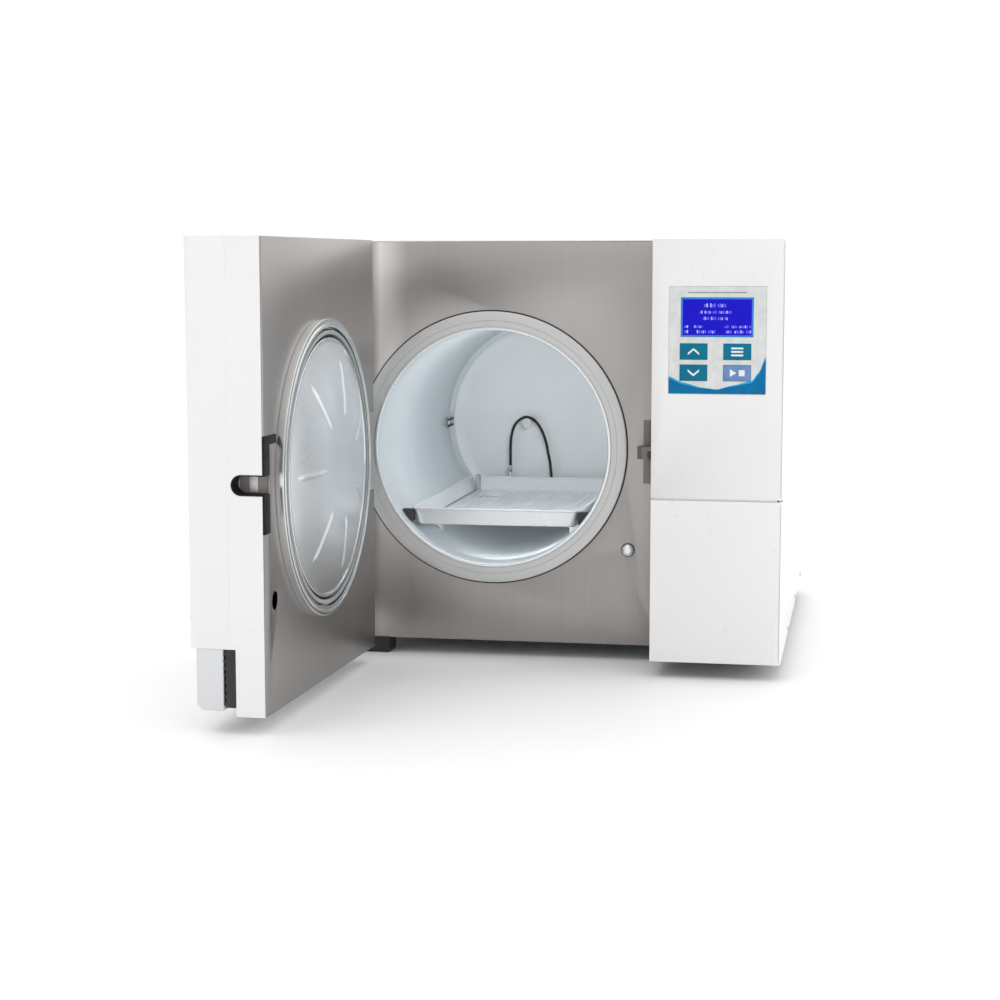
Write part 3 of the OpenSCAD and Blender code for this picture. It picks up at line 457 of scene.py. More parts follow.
def block(bm, low, high, bevel=0.0):
    """Adds a box to a bmesh, with its edges rounded."""
    made = bmesh.ops.create_cube(bm, size=1.0)
    size = Vector(high) - Vector(low)
    middle = (Vector(high) + Vector(low)) / 2
    for v in made["verts"]:
        v.co = Vector([v.co[i] * size[i] for i in range(3)]) + middle
    if bevel:
        edges = list({e for v in made["verts"] for e in v.link_edges})
        bmesh.ops.bevel(bm, geom=edges, offset=bevel, segments=2, affect="EDGES", profile=0.5)


def blocks(name, boxes, bevel, material, body, swung=False):
    """One piece made of several rounded boxes, each (low corner, high corner)."""
    bm = bmesh.new()
    for low, high in boxes:
        block(bm, low, high, bevel)
    return finish_mesh(name, mesh_from(bm, name), material, body, swung)


def tube(name, points, radius, material, body, closed=False, sides=16, swung=False):
    """A round bar along a line of points."""
    bm = bmesh.new()
    count = len(points)
    rings = []
    for i, p in enumerate(points):
        before = points[i - 1] if closed or i else p
        after = points[(i + 1) % count] if closed or i < count - 1 else p
        along = (Vector(after) - Vector(before)).normalized()
        side = along.cross(Vector((0.13, 0.21, 0.97))).normalized()
        if side.length < 0.5:
            side = Vector((1, 0, 0))
        up = along.cross(side)
        rings.append([bm.verts.new(Vector(p) + radius * (math.cos(TAU * k / sides) * side
                                                          + math.sin(TAU * k / sides) * up))
                      for k in range(sides)])
    for i in range(count if closed else count - 1):
        here, there = rings[i], rings[(i + 1) % count]
        for k in range(sides):
            m = (k + 1) % sides
            bm.faces.new((here[k], here[m], there[m], there[k]))
    if not closed:
        bm.faces.new(rings[0])
        bm.faces.new(rings[-1])
    return finish_mesh(name, mesh_from(bm, name), material, body, swung)


def finish_node(node, material):
    """Gives a shown CAD node its material."""
    mesh = NODES[node].data
    mesh.materials.clear()
    mesh.materials.append(material)


# ---- The probe lead ----

LEAD_D = 3.2 * MM
LEAD_ROUTE = [
    (-52, 124, 118), (-52, 120, 118), (-52, 117, 119), (-52, 114.5, 122), (-52, 113.5, 126),
    (-52, 113, 132), (-53, 113, 140), (-54, 113, 150), (-55, 113, 160), (-57, 113, 170),
    (-59, 113, 180), (-62, 113, 190), (-66, 113, 199), (-71, 113, 206), (-77, 113, 210.5),
    (-84, 113, 211.5), (-91, 113, 208), (-96, 113, 202), (-99, 113, 194), (-100.5, 113, 185),
    (-101, 113, 175), (-101, 113, 165), (-101, 113, 156),
]


def make_lead():
    """The lead arches over its hook and ends in a steel tip, with a crimped collar between."""
    route = [Vector(p) * MM for p in LEAD_ROUTE]
    curve = bpy.data.curves.new("probe_lead_curve", "CURVE")
    curve.dimensions = "3D"
    curve.bevel_depth = LEAD_D / 2
    curve.bevel_resolution = 5
    curve.use_fill_caps = True
    spline = curve.splines.new("POLY")
    fine = smooth_route(route, 5)
    spline.points.add(len(fine) - 1)
    for point, p in zip(spline.points, fine):
        point.co = (*p, 1)
    curve.materials.append(SILICONE)
    lead = bpy.data.objects.new("probe_lead.flex", curve)
    bpy.context.scene.collection.objects.link(lead)
    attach(lead, "cabinet")
    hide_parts("probe_lead")
    end = route[-1]
    tip_low, tip_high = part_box("probe_tip")
    tip_r = (tip_high.x - tip_low.x) / 2
    outline = [(0, tip_low.z - end.z)]
    outline += [(tip_r * math.sin(a), tip_low.z - end.z + tip_r * (1 - math.cos(a)))
                for a in (math.pi / 2 * k / 6 for k in range(1, 7))]
    outline += [(tip_r, -9 * MM), (tip_r * 0.86, -8.4 * MM), (tip_r * 0.86, -7 * MM),
                (tip_r, -6.4 * MM), (tip_r, -0.6 * MM), (tip_r * 0.8, 0), (0, 0)]
    tip = lathe("probe_tip.turned", outline, end, PIN_STEEL, "cabinet", 40, axis="Z")
    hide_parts("probe_tip")


def smooth_route(route, steps):
    """Points of a smooth line through the route, with several steps between each pair."""
    out = []
    for i in range(len(route) - 1):
        p0 = route[max(i - 1, 0)]
        p1, p2 = route[i], route[i + 1]
        p3 = route[min(i + 2, len(route) - 1)]
        for k in range(steps):
            t = k / steps
            out.append(0.5 * (2 * p1 + (p2 - p0) * t + (2 * p0 - 5 * p1 + 4 * p2 - p3) * t * t
                              + (3 * p1 - p0 - 3 * p2 + p3) * t ** 3))
    out.append(route[-1])
    return out


make_lead()


# ---- Chamber ----


def make_chamber():
    """The vessel with its stepped back, the flange ring with a black bead at its outer edge that stands in as
    painted shade for the shadow line there, and the port.
    """
    y0, y1 = VESSEL_LOW.y, VESSEL_HIGH.y
    depth = y1 - y0
    step_r = CHAMBER_R - 6.5 * MM
    centre = Vector((AXIS_X, y0, AXIS_Z))
    tube_outline = rounded([
        (CHAMBER_R, 0), (VESSEL_R, 0), (VESSEL_R, depth), (step_r, depth),
        (step_r, depth - 9 * MM), (CHAMBER_R, depth - 9 * MM)], 1.4 * MM)
    barrel = lathe("chamber_barrel", tube_outline, centre, CHAMBER, "cabinet", 200)
    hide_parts("chamber_vessel")
    dish = [(0, depth - 4 * MM), (step_r - 12 * MM, depth - 4 * MM), (step_r - 7 * MM, depth - 4.6 * MM),
            (step_r - 3 * MM, depth - 6.4 * MM), (step_r + 0.2 * MM, depth - 8 * MM),
            (step_r + 0.2 * MM, depth - 0.2 * MM), (0, depth - 0.2 * MM)]
    lathe("chamber_back", dish, centre, BACK_PLATE, "cabinet", 160)
    ring_y = RING_LOW.y
    proud = PANEL_LOW.y - ring_y
    ring = [(VESSEL_R + 0.1 * MM, 0.3 * MM), (VESSEL_R + 0.4 * MM, 0)]
    groove_r = RING_R - 9.6 * MM
    ring += [(groove_r, 0), (groove_r + 0.2 * MM, 0.45 * MM), (groove_r + 0.6 * MM, 0.45 * MM),
             (groove_r + 0.8 * MM, 0)]
    ring += [(RING_R - 0.9 * MM, 0), (RING_R - 0.25 * MM, 0.3 * MM), (RING_R, 0.9 * MM), (RING_R, proud),
             (RING_R - 7 * MM, proud), (RING_R - 7 * MM, proud + 6 * MM),
             (VESSEL_R + 0.1 * MM, proud + 6 * MM)]
    flange = lathe("flange_ring.turned", ring, Vector((AXIS_X, ring_y, AXIS_Z)), RING_STEEL, "cabinet",
                   200)
    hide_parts("chamber_flange_ring")
    lip = rounded([(CHAMBER_R - 0.4 * MM, 0.2 * MM), (VESSEL_R, 0.2 * MM), (VESSEL_R, 0),
                   (VESSEL_R - 0.2 * MM, -0.4 * MM), (CHAMBER_R + 0.4 * MM, -0.4 * MM)], 0.3 * MM)
    lathe("mouth_lip", lip, Vector((AXIS_X, ring_y, AXIS_Z)), LIP_STEEL, "cabinet", 200)
    # Painted shade: a black rubber bead where the ring meets the panel, standing in for the shadow line at the
    # ring's outer edge.
    seal = [(RING_R - 1 * MM, proud - 0.7 * MM), (RING_R + 1.0 * MM, proud - 0.7 * MM),
            (RING_R + 1.3 * MM, proud - 0.05 * MM), (RING_R - 1 * MM, proud - 0.05 * MM)]
    lathe("flange_shade_bead", seal, Vector((AXIS_X, ring_y, AXIS_Z)), RUBBER, "cabinet", 160)
    port_y = 111 * MM
    for k, dz in enumerate((-5.5, 1.5)):
        z = AXIS_Z + dz * MM
        tube(f"chamber_port_{k}", [Vector((AXIS_X - 110.6 * MM, port_y + d * MM, z)) for d in (-13, 13)],
             1.3 * MM, BLACK, "cabinet")
    blocks("chamber_port_clip", [((AXIS_X - 114.6 * MM, port_y - 3 * MM, AXIS_Z - 9 * MM),
                                  (AXIS_X - 111.4 * MM, port_y + 3 * MM, AXIS_Z + 5 * MM))],
           0.5 * MM, PIN_STEEL, "cabinet")


make_chamber()


# ---- Pressure disc ----

RIB_COUNT = 7
RIB_FIRST = 0.0
RIB_IN, RIB_OUT = 47 * MM, 95 * MM
RIB_WIDTH, RIB_RISE = 1.8 * MM, 1.8 * MM
RIM_H = 7.6 * MM
SEAT_IN, SEAT_OUT = 114 * MM, 122.4 * MM
SEAL_IN, SEAL_OUT = 117.4 * MM, 121.2 * MM
INNER_IN, INNER_OUT = 108 * MM, 115.0 * MM
DOME_R = 111 * MM
DOME_FOOT = 6.2 * MM
DOME_SKIRT = 1.5 * MM
DOME_CURVE = 2.2
DOME_AROUND, DOME_ACROSS = 840, 64


def make_disc():
    """The disc's rolled rim, its seal in a dark seat, and the steel ring inside the seal."""
    centre = Vector((AXIS_X, FACE_Y, AXIS_Z))
    disc_r = (DISC_HIGH.x - DISC_LOW.x) / 2
    outer = rounded([(disc_r - 12 * MM, 0), (disc_r, 0), (disc_r, RIM_H - 0.5 * MM),
                     (disc_r - 3.4 * MM, RIM_H), (disc_r - 4.2 * MM, RIM_H - 1.3 * MM),
                     (disc_r - 5.0 * MM, RIM_H), (disc_r - 7.9 * MM, RIM_H),
                     (disc_r - 7.9 * MM, 3 * MM), (disc_r - 12 * MM, 3 * MM)], 0.55 * MM)
    rim = lathe("disc_rim", outer, centre, RIM_STEEL, "door", 220, True)
    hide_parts("pressure_disc")
    base = [(SEAT_IN, 2.6 * MM), (SEAT_OUT, 2.6 * MM), (SEAT_OUT, 3.4 * MM), (SEAT_IN, 3.4 * MM)]
    lathe("disc_seal_seat", base, centre, RUBBER, "door", 180, True)
    seal = rounded([(SEAL_IN, 3.2 * MM), (SEAL_OUT, 3.2 * MM), (SEAL_OUT, 7.0 * MM),
                    (120.4 * MM, RIM_H), (118.2 * MM, RIM_H), (SEAL_IN, 6.8 * MM)], 0.5 * MM)
    gasket = lathe("disc_seal", seal, centre, SEAL_GREY, "door", 180, True)
    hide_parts("door_gasket")
    inner = rounded([(INNER_IN, 0), (INNER_OUT, 0), (INNER_OUT, 6.4 * MM), (114.4 * MM, 7.0 * MM),
                     (112.4 * MM, 7.0 * MM), (111.4 * MM, 5.8 * MM), (INNER_IN, 5.8 * MM)], 0.5 * MM)
    lathe("disc_inner_ring", inner, centre, RIM_STEEL, "door", 180, True)


def make_dome():
    """The disc's shallow dome with pressed radial ribs, and a short skirt down into its ring."""
    centre = Vector((AXIS_X, FACE_Y, AXIS_Z))
    rise = DISC_HIGH.y - FACE_Y - 6.4 * MM
    bm = bmesh.new()
    rows = []
    for j in range(DOME_ACROSS + 1):
        r = DOME_R * j / DOME_ACROSS
        row = []
        for i in range(DOME_AROUND):
            turn = TAU * i / DOME_AROUND
            h = DOME_FOOT + rise * (1 - (r / DOME_R) ** DOME_CURVE) + rib_height(r, turn)
            row.append(bm.verts.new(centre + Vector((r * math.cos(turn), h, r * math.sin(turn)))))
            if j == 0:
                break
        rows.append(row)
    rows.append([bm.verts.new(v.co - Vector((0, DOME_SKIRT, 0))) for v in rows[-1]])
    for i in range(DOME_AROUND):
        bm.faces.new((rows[0][0], rows[1][i], rows[1][(i + 1) % DOME_AROUND]))
    for here, there in zip(rows[1:], rows[2:]):
        for i in range(DOME_AROUND):
            k = (i + 1) % DOME_AROUND
            bm.faces.new((here[i], there[i], there[k], here[k]))
    bm.faces.new(rows[-1])
    finish_mesh("disc_dome", mesh_from(bm, "disc_dome"), DISC_STEEL, "door", True)


def rib_height(r, turn):
    """Height of the pressed rib at a point of the dome, 0 between the ribs."""
    if not RIB_IN - 4 * MM < r < RIB_OUT + 4 * MM:
        return 0.0
    pitch = TAU / RIB_COUNT
    off = (turn - RIB_FIRST + pitch / 2) % pitch - pitch / 2
    side = abs(off) * r / RIB_WIDTH
    ends = min(1.0, max(0.0, (r - RIB_IN + 3 * MM) / (6 * MM)), max(0.0, (RIB_OUT + 3 * MM - r) / (6 * MM)))
    return RIB_RISE * ends * math.exp(-side * side)


make_disc()
make_dome()


# ---- Cabinet, column and door shells ----


def make_shells():
    """The covers, plates and fittings whose CAD shapes are kept, with their edges broken."""
    softened("cabinet_cover", 0.6 * MM, WHITE)
    softened("rear_panel", 0.3 * MM, WHITE, 2)
    softened("column_bezel", 1.0 * MM, WHITE_MOULDED)
    softened("service_door", 1.0 * MM, WHITE_MOULDED)
    softened("column_side_wall", 0.3 * MM, WHITE, 2)
    softened("front_steel_panel", 0.3 * MM, PANEL_STEEL, 2)
    softened("door_outer_cover", 1.4 * MM, WHITE_MOULDED)
    softened("door_frame", 0.35 * MM, WHITE_MOULDED, 2)
    softened("door_inner_plate", 0.5 * MM, DOOR_STEEL, 2)
    softened("door_grip", 1.2 * MM, GRIP_GREY)
    softened("grip_insert", 0.5 * MM, BLACK, 2)
    softened("latch_frame", 0.4 * MM, FRAME_BLACK, 2)
    softened("hinge_bracket", 1.2 * MM, DARK_IRON)
    softened("latch_catch", 0.4 * MM, CATCH_STEEL, 2)
    softened("tray_rack", 0.4 * MM, TRAY_STEEL, 2)
    softened("tray_bumpers", 0.8 * MM, BUMPER)
    softened("reservoir_cap", 0.5 * MM, BLUE)
    softened("mains_inlet", 0.5 * MM, BLACK)
    softened("power_switch_body", 0.5 * MM, BLACK)
    softened("power_rocker", 0.4 * MM, RED)
    softened("fan_frame", 0.3 * MM, BLACK, 2)
    softened("service_panel", 0.3 * MM, SHEET_STEEL, 2)
    softened("drain_knob_left", 0.5 * MM, BLUE, 2)
    softened("drain_knob_right", 0.5 * MM, BLUE, 2)
    softened("key_up", 0.25 * MM, TEAL, 2)
    softened("key_down", 0.25 * MM, TEAL, 2)
    softened("key_menu", 0.25 * MM, TEAL, 2)
    softened("key_start", 0.25 * MM, PALE_BLUE, 2)


make_shells()


# ---- Materials of the CAD nodes that are shown as they are ----

NODE_FINISH = {
    "base_pan": SHEET_STEEL, "feet": RUBBER, "control_overlay": FILM, "lcd_module": SCREEN,
    "control_board": BOARD, "insulation_jacket": WOOL, "band_heaters": SHEET_STEEL,
    "chamber_saddles": SHEET_STEEL, "probe_gland": BRASS, "probe_hook": PIN_STEEL,
    "water_reservoir": TANK, "water_pump": BLACK, "solenoid_valves": BRASS, "condenser": COPPER,
    "safety_valve_body": BRASS, "power_supply": SHEET_STEEL, "drain_valve_bodies": BRASS,
    "service_hinge_rod": PIN_STEEL, "lock_solenoid": BLACK, "hinge_pin": PIN_STEEL,
    "rear_spigots": PIN_STEEL, "fan_rotor": BLACK, "safety_valve_ring": PIN_STEEL,
    "latch_bolt": PIN_STEEL, "lock_pin": LIP_STEEL,
}
for node_name, finish in NODE_FINISH.items():
    finish_node(node_name, finish)


# ---- Control panel ----


def plate_outline(name, points, y, thick, material, body):
    """A thin printed shape on a face that looks forward: points are (x, z), in metres."""
    bm = bmesh.new()
    front = [bm.verts.new((x, y - thick, z)) for x, z in points]
    back = [bm.verts.new((x, y, z)) for x, z in points]
    bm.faces.new(front)
    bm.faces.new(list(reversed(back)))
    count = len(points)
    for i in range(count):
        k = (i + 1) % count
        bm.faces.new((front[i], back[i], back[k], front[k]))
    return finish_mesh(name, mesh_from(bm, name), material, body)


def bars(name, spans, y, thick, material, body):
    """Thin printed bars on a face that looks forward: each is (x0, z0, x1, z1), in metres."""
    boxes = [((x0, y - thick, z0), (x1, y, z1)) for x0, z0, x1, z1 in spans]
    return blocks(name, boxes, 0, material, body)


def make_overlay():
    """Printed rule and wave on the overlay film."""
    low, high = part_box("control_overlay")
    wide = high.x - low.x
    ink = 0.06 * MM
    bars("overlay_rule", [(low.x + 17 * MM, high.z - 6.1 * MM, low.x + 71 * MM, high.z - 4.9 * MM)],
         low.y, ink, GREY_INK, "cabinet")

    steps = 60
    for name, lift, material, depth in (("overlay_wave_light", 1.3, SWOOSH_LIGHT, ink),
                                        ("overlay_wave", -0.6, SWOOSH, 2 * ink)):
        top = [(low.x + wide * k / steps, low.z + wave_top(k / steps, lift)) for k in range(steps + 1)]
        points = [(low.x, low.z + 0.2 * MM), (high.x, low.z + 0.2 * MM)] + top[::-1]
        plate_outline(name, points, low.y, depth, material, "cabinet")


WAVE = [(0.0, 14.7), (0.15, 9.2), (0.34, 5.4), (0.5, 4.2),
        (0.66, 7.4), (0.86, 11.0), (0.93, 19.0), (1.0, 33.0)]


def wave_top(across, lift):
    """Height of the wave's top edge, high at both ends and lowest near the middle."""
    for (t0, h0), (t1, h1) in zip(WAVE, WAVE[1:]):
        if across <= t1:
            t = (across - t0) / (t1 - t0)
            ease = t * t * (3 - 2 * t)
            mixed = 0.5 * (t + ease)
            extra = lift * min(1.0, abs(across - 0.5) * 3)
            return (h0 + (h1 - h0) * mixed + extra) * MM
    return WAVE[-1][1] * MM


def make_display():
    """A lit blue display with a light border and bars where text lines would be."""
    window_low, window_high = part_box("lcd_module")
    front = window_low.y
    x0, x1 = window_low.x + 5.3 * MM, window_high.x - 5.3 * MM
    z0 = window_low.z
    z1 = z0 + 35.7 * MM
    edge = 1.4 * MM
    ink = 0.05 * MM
    bars("display_border", [(x0, z0, x1, z0 + edge), (x0, z1 - edge, x1, z1),
                            (x0, z0 + edge, x0 + edge, z1 - edge), (x1 - edge, z0 + edge, x1, z1 - edge)],
         front, ink, SCREEN_EDGE, "cabinet")
    rows = [
        (27.0, 3.4, [(21, 4), (26.5, 5.5), (33.5, 8)]),
        (21.2, 2.6, [(17, 3), (21.5, 6), (29, 4), (34.5, 12)]),
        (15.4, 2.8, [(20, 6), (27.4, 5), (33.6, 5), (40, 3)]),
        (8.0, 2.4, [(3, 4), (12, 8), (40, 4), (46, 6), (53.5, 8), (62.5, 3)]),
        (3.2, 2.8, [(3, 4), (14.5, 9), (24.8, 7), (41, 6), (49, 9), (59.5, 5)]),
    ]
    dull, bright = [], []
    for z, tall, words in rows:
        for k, (x, w) in enumerate(words):
            count = max(2, round(w / 1.7))
            for c in range(count):
                a = x0 + (x + w * c / count) * MM
                height = tall * (0.8 + 0.2 * ((c + k) % 2))
                bar = (a, z0 + z * MM, a + w / count * 0.72 * MM, z0 + (z + height) * MM)
                (bright if (k + c) % 3 == 1 else dull).append(bar)
    bars("display_text", dull, front, ink, SCREEN_TEXT, "cabinet")
    bars("display_text_bright", bright, front, ink, SCREEN_BRIGHT, "cabinet")


def chevron(x, z, way):
    """A chevron pointing up (way 1) or down (way -1)."""
    half, tall, thick = 5.2 * MM, 4.4 * MM, 2.0 * MM
    z0 = z - way * tall / 2
    return [(x - half, z0), (x, z0 + way * tall), (x + half, z0), (x + half, z0 + way * thick),
            (x, z0 + way * (tall + thick)), (x - half, z0 + way * thick)]


def make_glyphs():
    """Plain signs on the keys: chevrons, three lines for the menu, and start with stop."""
    ink = 0.06 * MM
    for node, way in (("key_up", 1), ("key_down", -1)):
        c = centre_of(node)
        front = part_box(node)[0].y
        arrow = chevron(c.x, c.z - way * 1.0 * MM, way)
        plate_outline(node + ".glyph", arrow, front, ink, WHITE_INK, node)
    c = centre_of("key_menu")
    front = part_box("key_menu")[0].y
    rows = [(c.x - 5.5 * MM, c.z + d * MM - 0.8 * MM, c.x + 5.5 * MM, c.z + d * MM + 0.8 * MM)
            for d in (-3.2, 0, 3.2)]
    bars("key_menu.glyph", rows, front, ink, WHITE_INK, "key_menu")
    c = centre_of("key_start")
    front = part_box("key_start")[0].y
    play = [(c.x - 6.5 * MM, c.z - 3.4 * MM), (c.x - 0.6 * MM, c.z), (c.x - 6.5 * MM, c.z + 3.4 * MM)]
    plate_outline("key_start.play", play, front, ink, WHITE_INK, "key_start")
    bars("key_start.stop", [(c.x + 1.6 * MM, c.z - 2.8 * MM, c.x + 7.0 * MM, c.z + 2.8 * MM)], front, ink,
         WHITE_INK, "key_start")


make_overlay()
make_display()
make_glyphs()


# ---- Small fittings ----


def screw(name, place, outward, body, radius=2.6 * MM):
    """A pan-head screw with a six-sided recess, its head standing off along outward."""
    rise = radius * 0.62
    outline = [(0, 0), (radius, 0), (radius, rise * 0.35), (radius * 0.86, rise * 0.8), (radius * 0.55, rise),
               (radius * 0.5, rise), (radius * 0.46, rise * 0.4), (0, rise * 0.4)]
    bm = bmesh.new()
    steps = 24
    turn_to = Vector(outward).normalized().to_track_quat("Z", "Y").to_matrix().to_4x4()
    rings = []
    for i in range(steps):
        a = TAU * i / steps
        ring = []
        for j, (r, h) in enumerate(outline):
            if j >= 5:
                r = r * (0.86 + 0.14 * math.cos(6 * a))
            ring.append(bm.verts.new(Vector((r * math.cos(a), r * math.sin(a), h))))
        rings.append(ring)
    for i in range(steps):
        here, there = rings[i], rings[(i + 1) % steps]
        for j in range(len(outline) - 1):
            bm.faces.new((here[j], here[j + 1], there[j + 1], there[j]))
    bmesh.ops.remove_doubles(bm, verts=bm.verts, dist=1e-7)
    mesh = mesh_from(bm, name)
    mesh.transform(Matrix.Translation(Vector(place)) @ turn_to)
    return finish_mesh(name, mesh, PIN_STEEL, body)


def make_screws():
    """Screws of the rear panel, the fan, the cabinet's sides and the hinge arm."""
    low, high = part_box("rear_panel")
    k = 0
    for x in (low.x + 8 * MM, (low.x + high.x) / 2, high.x - 8 * MM):
        for z in (low.z + 8 * MM, high.z - 8 * MM):
            screw(f"rear_screw_{k}", (x, high.y, z), (0, 1, 0), "cabinet")
            k += 1
    low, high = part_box("fan_frame")
    for k in range(4):
        x = low.x + 4.5 * MM if k % 2 else high.x - 4.5 * MM
        z = low.z + 4.5 * MM if k // 2 else high.z - 4.5 * MM
        screw(f"fan_screw_{k}", (x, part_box("rear_panel")[1].y, z), (0, 1, 0), "cabinet")
    low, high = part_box("cabinet_cover")
    for side, x, outward in (("left", low.x, -1), ("right", high.x, 1)):
        for k, y in enumerate((-0.15, 0.05, 0.21)):
            screw(f"{side}_screw_{k}", (x, y, low.z + 9 * MM), (outward, 0, 0), "cabinet")
    low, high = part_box("hinge_bracket")
    for k, z in enumerate((low.z + 8 * MM, high.z - 8 * MM)):
        place = ((low.x + high.x) / 2, PANEL_LOW.y - 4 * MM, z)
        screw(f"bracket_screw_{k}", place, (0, -1, 0), "cabinet", 3.2 * MM)


make_screws()


def make_latch_plate():
    """The dark liner of the door's latch slot and the light steel keeper in its middle."""
    low, high = closed_box("latch_frame")
    middle_z = (low.z + high.z) / 2
    floor_x = high.x - 16.2 * MM
    back_y = FACE_Y - 26 * MM
    blocks("latch_liner", [((floor_x - 1.4 * MM, back_y, middle_z - 9 * MM),
                            (floor_x, FACE_Y - 0.8 * MM, middle_z + 9 * MM))],
           0.4 * MM, LINER, "door", True)
    blocks("latch_keeper", [((floor_x, FACE_Y - 17.5 * MM, middle_z - 6.8 * MM),
                             (floor_x + 1.6 * MM, FACE_Y - 10 * MM, middle_z + 6.8 * MM))],
           0.5 * MM, KEEPER_STEEL, "door", True)


make_latch_plate()


TRAY_LOW, TRAY_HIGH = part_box("tray")
TRAY_DEPTH = 16 * MM
TRAY_TAPER = 5 * MM
TRAY_SHEET = 1.2 * MM
HOLE_PITCH = 8.5 * MM
HOLE_R = 2.3 * MM


def corner_loop(x0, x1, y0, y1, z, radius):
    """Points around a rounded rectangle, the same number for any size."""
    loop = []
    for cx, cy, first in ((x1 - radius, y0 + radius, -90), (x1 - radius, y1 - radius, 0),
                          (x0 + radius, y1 - radius, 90), (x0 + radius, y0 + radius, 180)):
        for k in range(7):
            a = math.radians(first + 15 * k)
            loop.append(Vector((cx + radius * math.cos(a), cy + radius * math.sin(a), z)))
    return loop


def make_tray():
    """The drawn tray: leaning walls with a rolled rim, two posts, and a floor full of round holes."""
    x0, x1, y0, y1 = TRAY_LOW.x, TRAY_HIGH.x, TRAY_LOW.y, TRAY_HIGH.y
    z0 = TRAY_LOW.z
    z1 = z0 + TRAY_DEPTH
    sheet = TRAY_SHEET
    lean = TRAY_TAPER
    bm = bmesh.new()
    rows = []
    for inset, side, z in ((0, lean, z0 + 1.0 * MM), (0, 0, z1 - 0.4 * MM), (0.4 * MM, 0, z1), (sheet, 0, z1),
                           (sheet, lean, z0 + sheet), (sheet, lean + 2 * MM, z0 + sheet),
                           (1.0 * MM, lean + 2 * MM, z0), (1.0 * MM, lean, z0)):
        loop = corner_loop(x0 + inset + side, x1 - inset - side, y0 + inset, y1 - inset, z, 7 * MM - inset)
        rows.append([bm.verts.new(p) for p in loop])
    for j, row in enumerate(rows):
        after = rows[(j + 1) % len(rows)]
        for i in range(len(row)):
            k = (i + 1) % len(row)
            bm.faces.new((row[i], row[k], after[k], after[i]))
    body = finish_mesh("tray_walls", mesh_from(bm, "tray_walls"), TRAY_STEEL, "tray")
    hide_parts("tray")
    make_tray_floor(x0 + lean + sheet, x1 - lean - sheet, y0 + sheet, y1 - sheet, z0)
    rim = corner_loop(x0 + 0.4 * MM, x1 - 0.4 * MM, y0 + 0.4 * MM, y1 - 0.4 * MM, z1 - 0.5 * MM, 6 * MM)
    tube("tray_rolled_rim", rim, 1.25 * MM, TRAY_STEEL, "tray", closed=True)
    for k, side in enumerate((x0 + lean + 5 * MM, x1 - lean - 5 * MM)):
        top = TRAY_HIGH.z - z0 - 0.6 * MM
        post = [(0, 0), (2.4 * MM, 0), (2.4 * MM, top - 0.8 * MM), (1.6 * MM, top), (0, top)]
        lathe(f"tray_post_{k}", post, Vector((side, y1 - 4.5 * MM, z0 + 0.6 * MM)), PIN_STEEL, "tray",
              32, axis="Z")


def make_tray_floor(x0, x1, y0, y1, z0):
    """A plate with rows of round holes, built cell by cell, with a plain border."""
    columns = int((x1 - x0 - 6 * MM) / HOLE_PITCH)
    lines = int((y1 - y0 - 6 * MM) / HOLE_PITCH)
    first_x = (x0 + x1 - columns * HOLE_PITCH) / 2
    first_y = (y0 + y1 - lines * HOLE_PITCH) / 2
    last_x = first_x + columns * HOLE_PITCH
    last_y = first_y + lines * HOLE_PITCH
    z_levels = (z0, z0 + TRAY_SHEET)
    half = HOLE_PITCH / 2
    third = HOLE_PITCH / 6
    square = [(half, -third), (half, third), (half, half), (third, half), (-third, half), (-half, half),
              (-half, third), (-half, -third), (-half, -half), (-third, -half), (third, -half), (half, -half)]
    bm = bmesh.new()
    for i in range(columns):
        for j in range(lines):
            cx = first_x + (i + 0.5) * HOLE_PITCH
            cy = first_y + (j + 0.5) * HOLE_PITCH
            rings = []
            for z in z_levels:
                edge = [bm.verts.new((cx + a, cy + b, z)) for a, b in square]
                rim = [bm.verts.new((cx + HOLE_R * a / math.hypot(a, b),
                                     cy + HOLE_R * b / math.hypot(a, b), z)) for a, b in square]
                rings.append(rim)
                for k in range(12):
                    m = (k + 1) % 12
                    bm.faces.new((edge[k], edge[m], rim[m], rim[k]))
            for k in range(12):
                m = (k + 1) % 12
                bm.faces.new((rings[0][k], rings[0][m], rings[1][m], rings[1][k]))
    for a0, a1, b0, b1 in ((x0, first_x, y0, y1), (last_x, x1, y0, y1), (first_x, last_x, y0, first_y),
                           (first_x, last_x, last_y, y1)):
        for z in z_levels:
            bm.faces.new([bm.verts.new((a, b, z)) for a, b in ((a0, b0), (a1, b0), (a1, b1), (a0, b1))])
    bmesh.ops.remove_doubles(bm, verts=bm.verts, dist=1e-6)
    finish_mesh("tray_floor", mesh_from(bm, "tray_floor"), TRAY_STEEL, "tray")


make_tray()


def make_seam_lip():
    """The pale lip behind the gap between the bezel and the service door."""
    low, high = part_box("column_bezel")
    door_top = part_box("service_door")[1].z
    z0, z1 = door_top + 0.05 * MM, low.z + 0.05 * MM
    front = ((low.x + 1.8 * MM, low.y + 2.0 * MM, z0), (high.x - 5 * MM, low.y + 3.4 * MM, z1))
    side = ((high.x - 3.4 * MM, low.y + 6 * MM, z0), (high.x - 2.0 * MM, low.y + 13.5 * MM, z1))
    blocks("seam_lip", [front, side], 0.1 * MM, WHITE_MOULDED, "cabinet")


make_seam_lip()


def make_edge_shade_line():
    """A fine grey line down the column's front edge, on the bezel and on the service door: painted shade
    standing for the shading of the rounded edge.
    """
    for node in ("column_bezel", "service_door"):
        low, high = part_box(node)
        blocks(node + ".edge_shade_line", [((high.x - 2.1 * MM, low.y - 0.06 * MM, low.z + 2 * MM),
                                      (high.x - 1.3 * MM, low.y + 0.2 * MM, high.z - 2 * MM))],
               0.02 * MM, EDGE_SHADE_GREY, NODES[node]["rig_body"])


make_edge_shade_line()


# ---- Floor and light ----


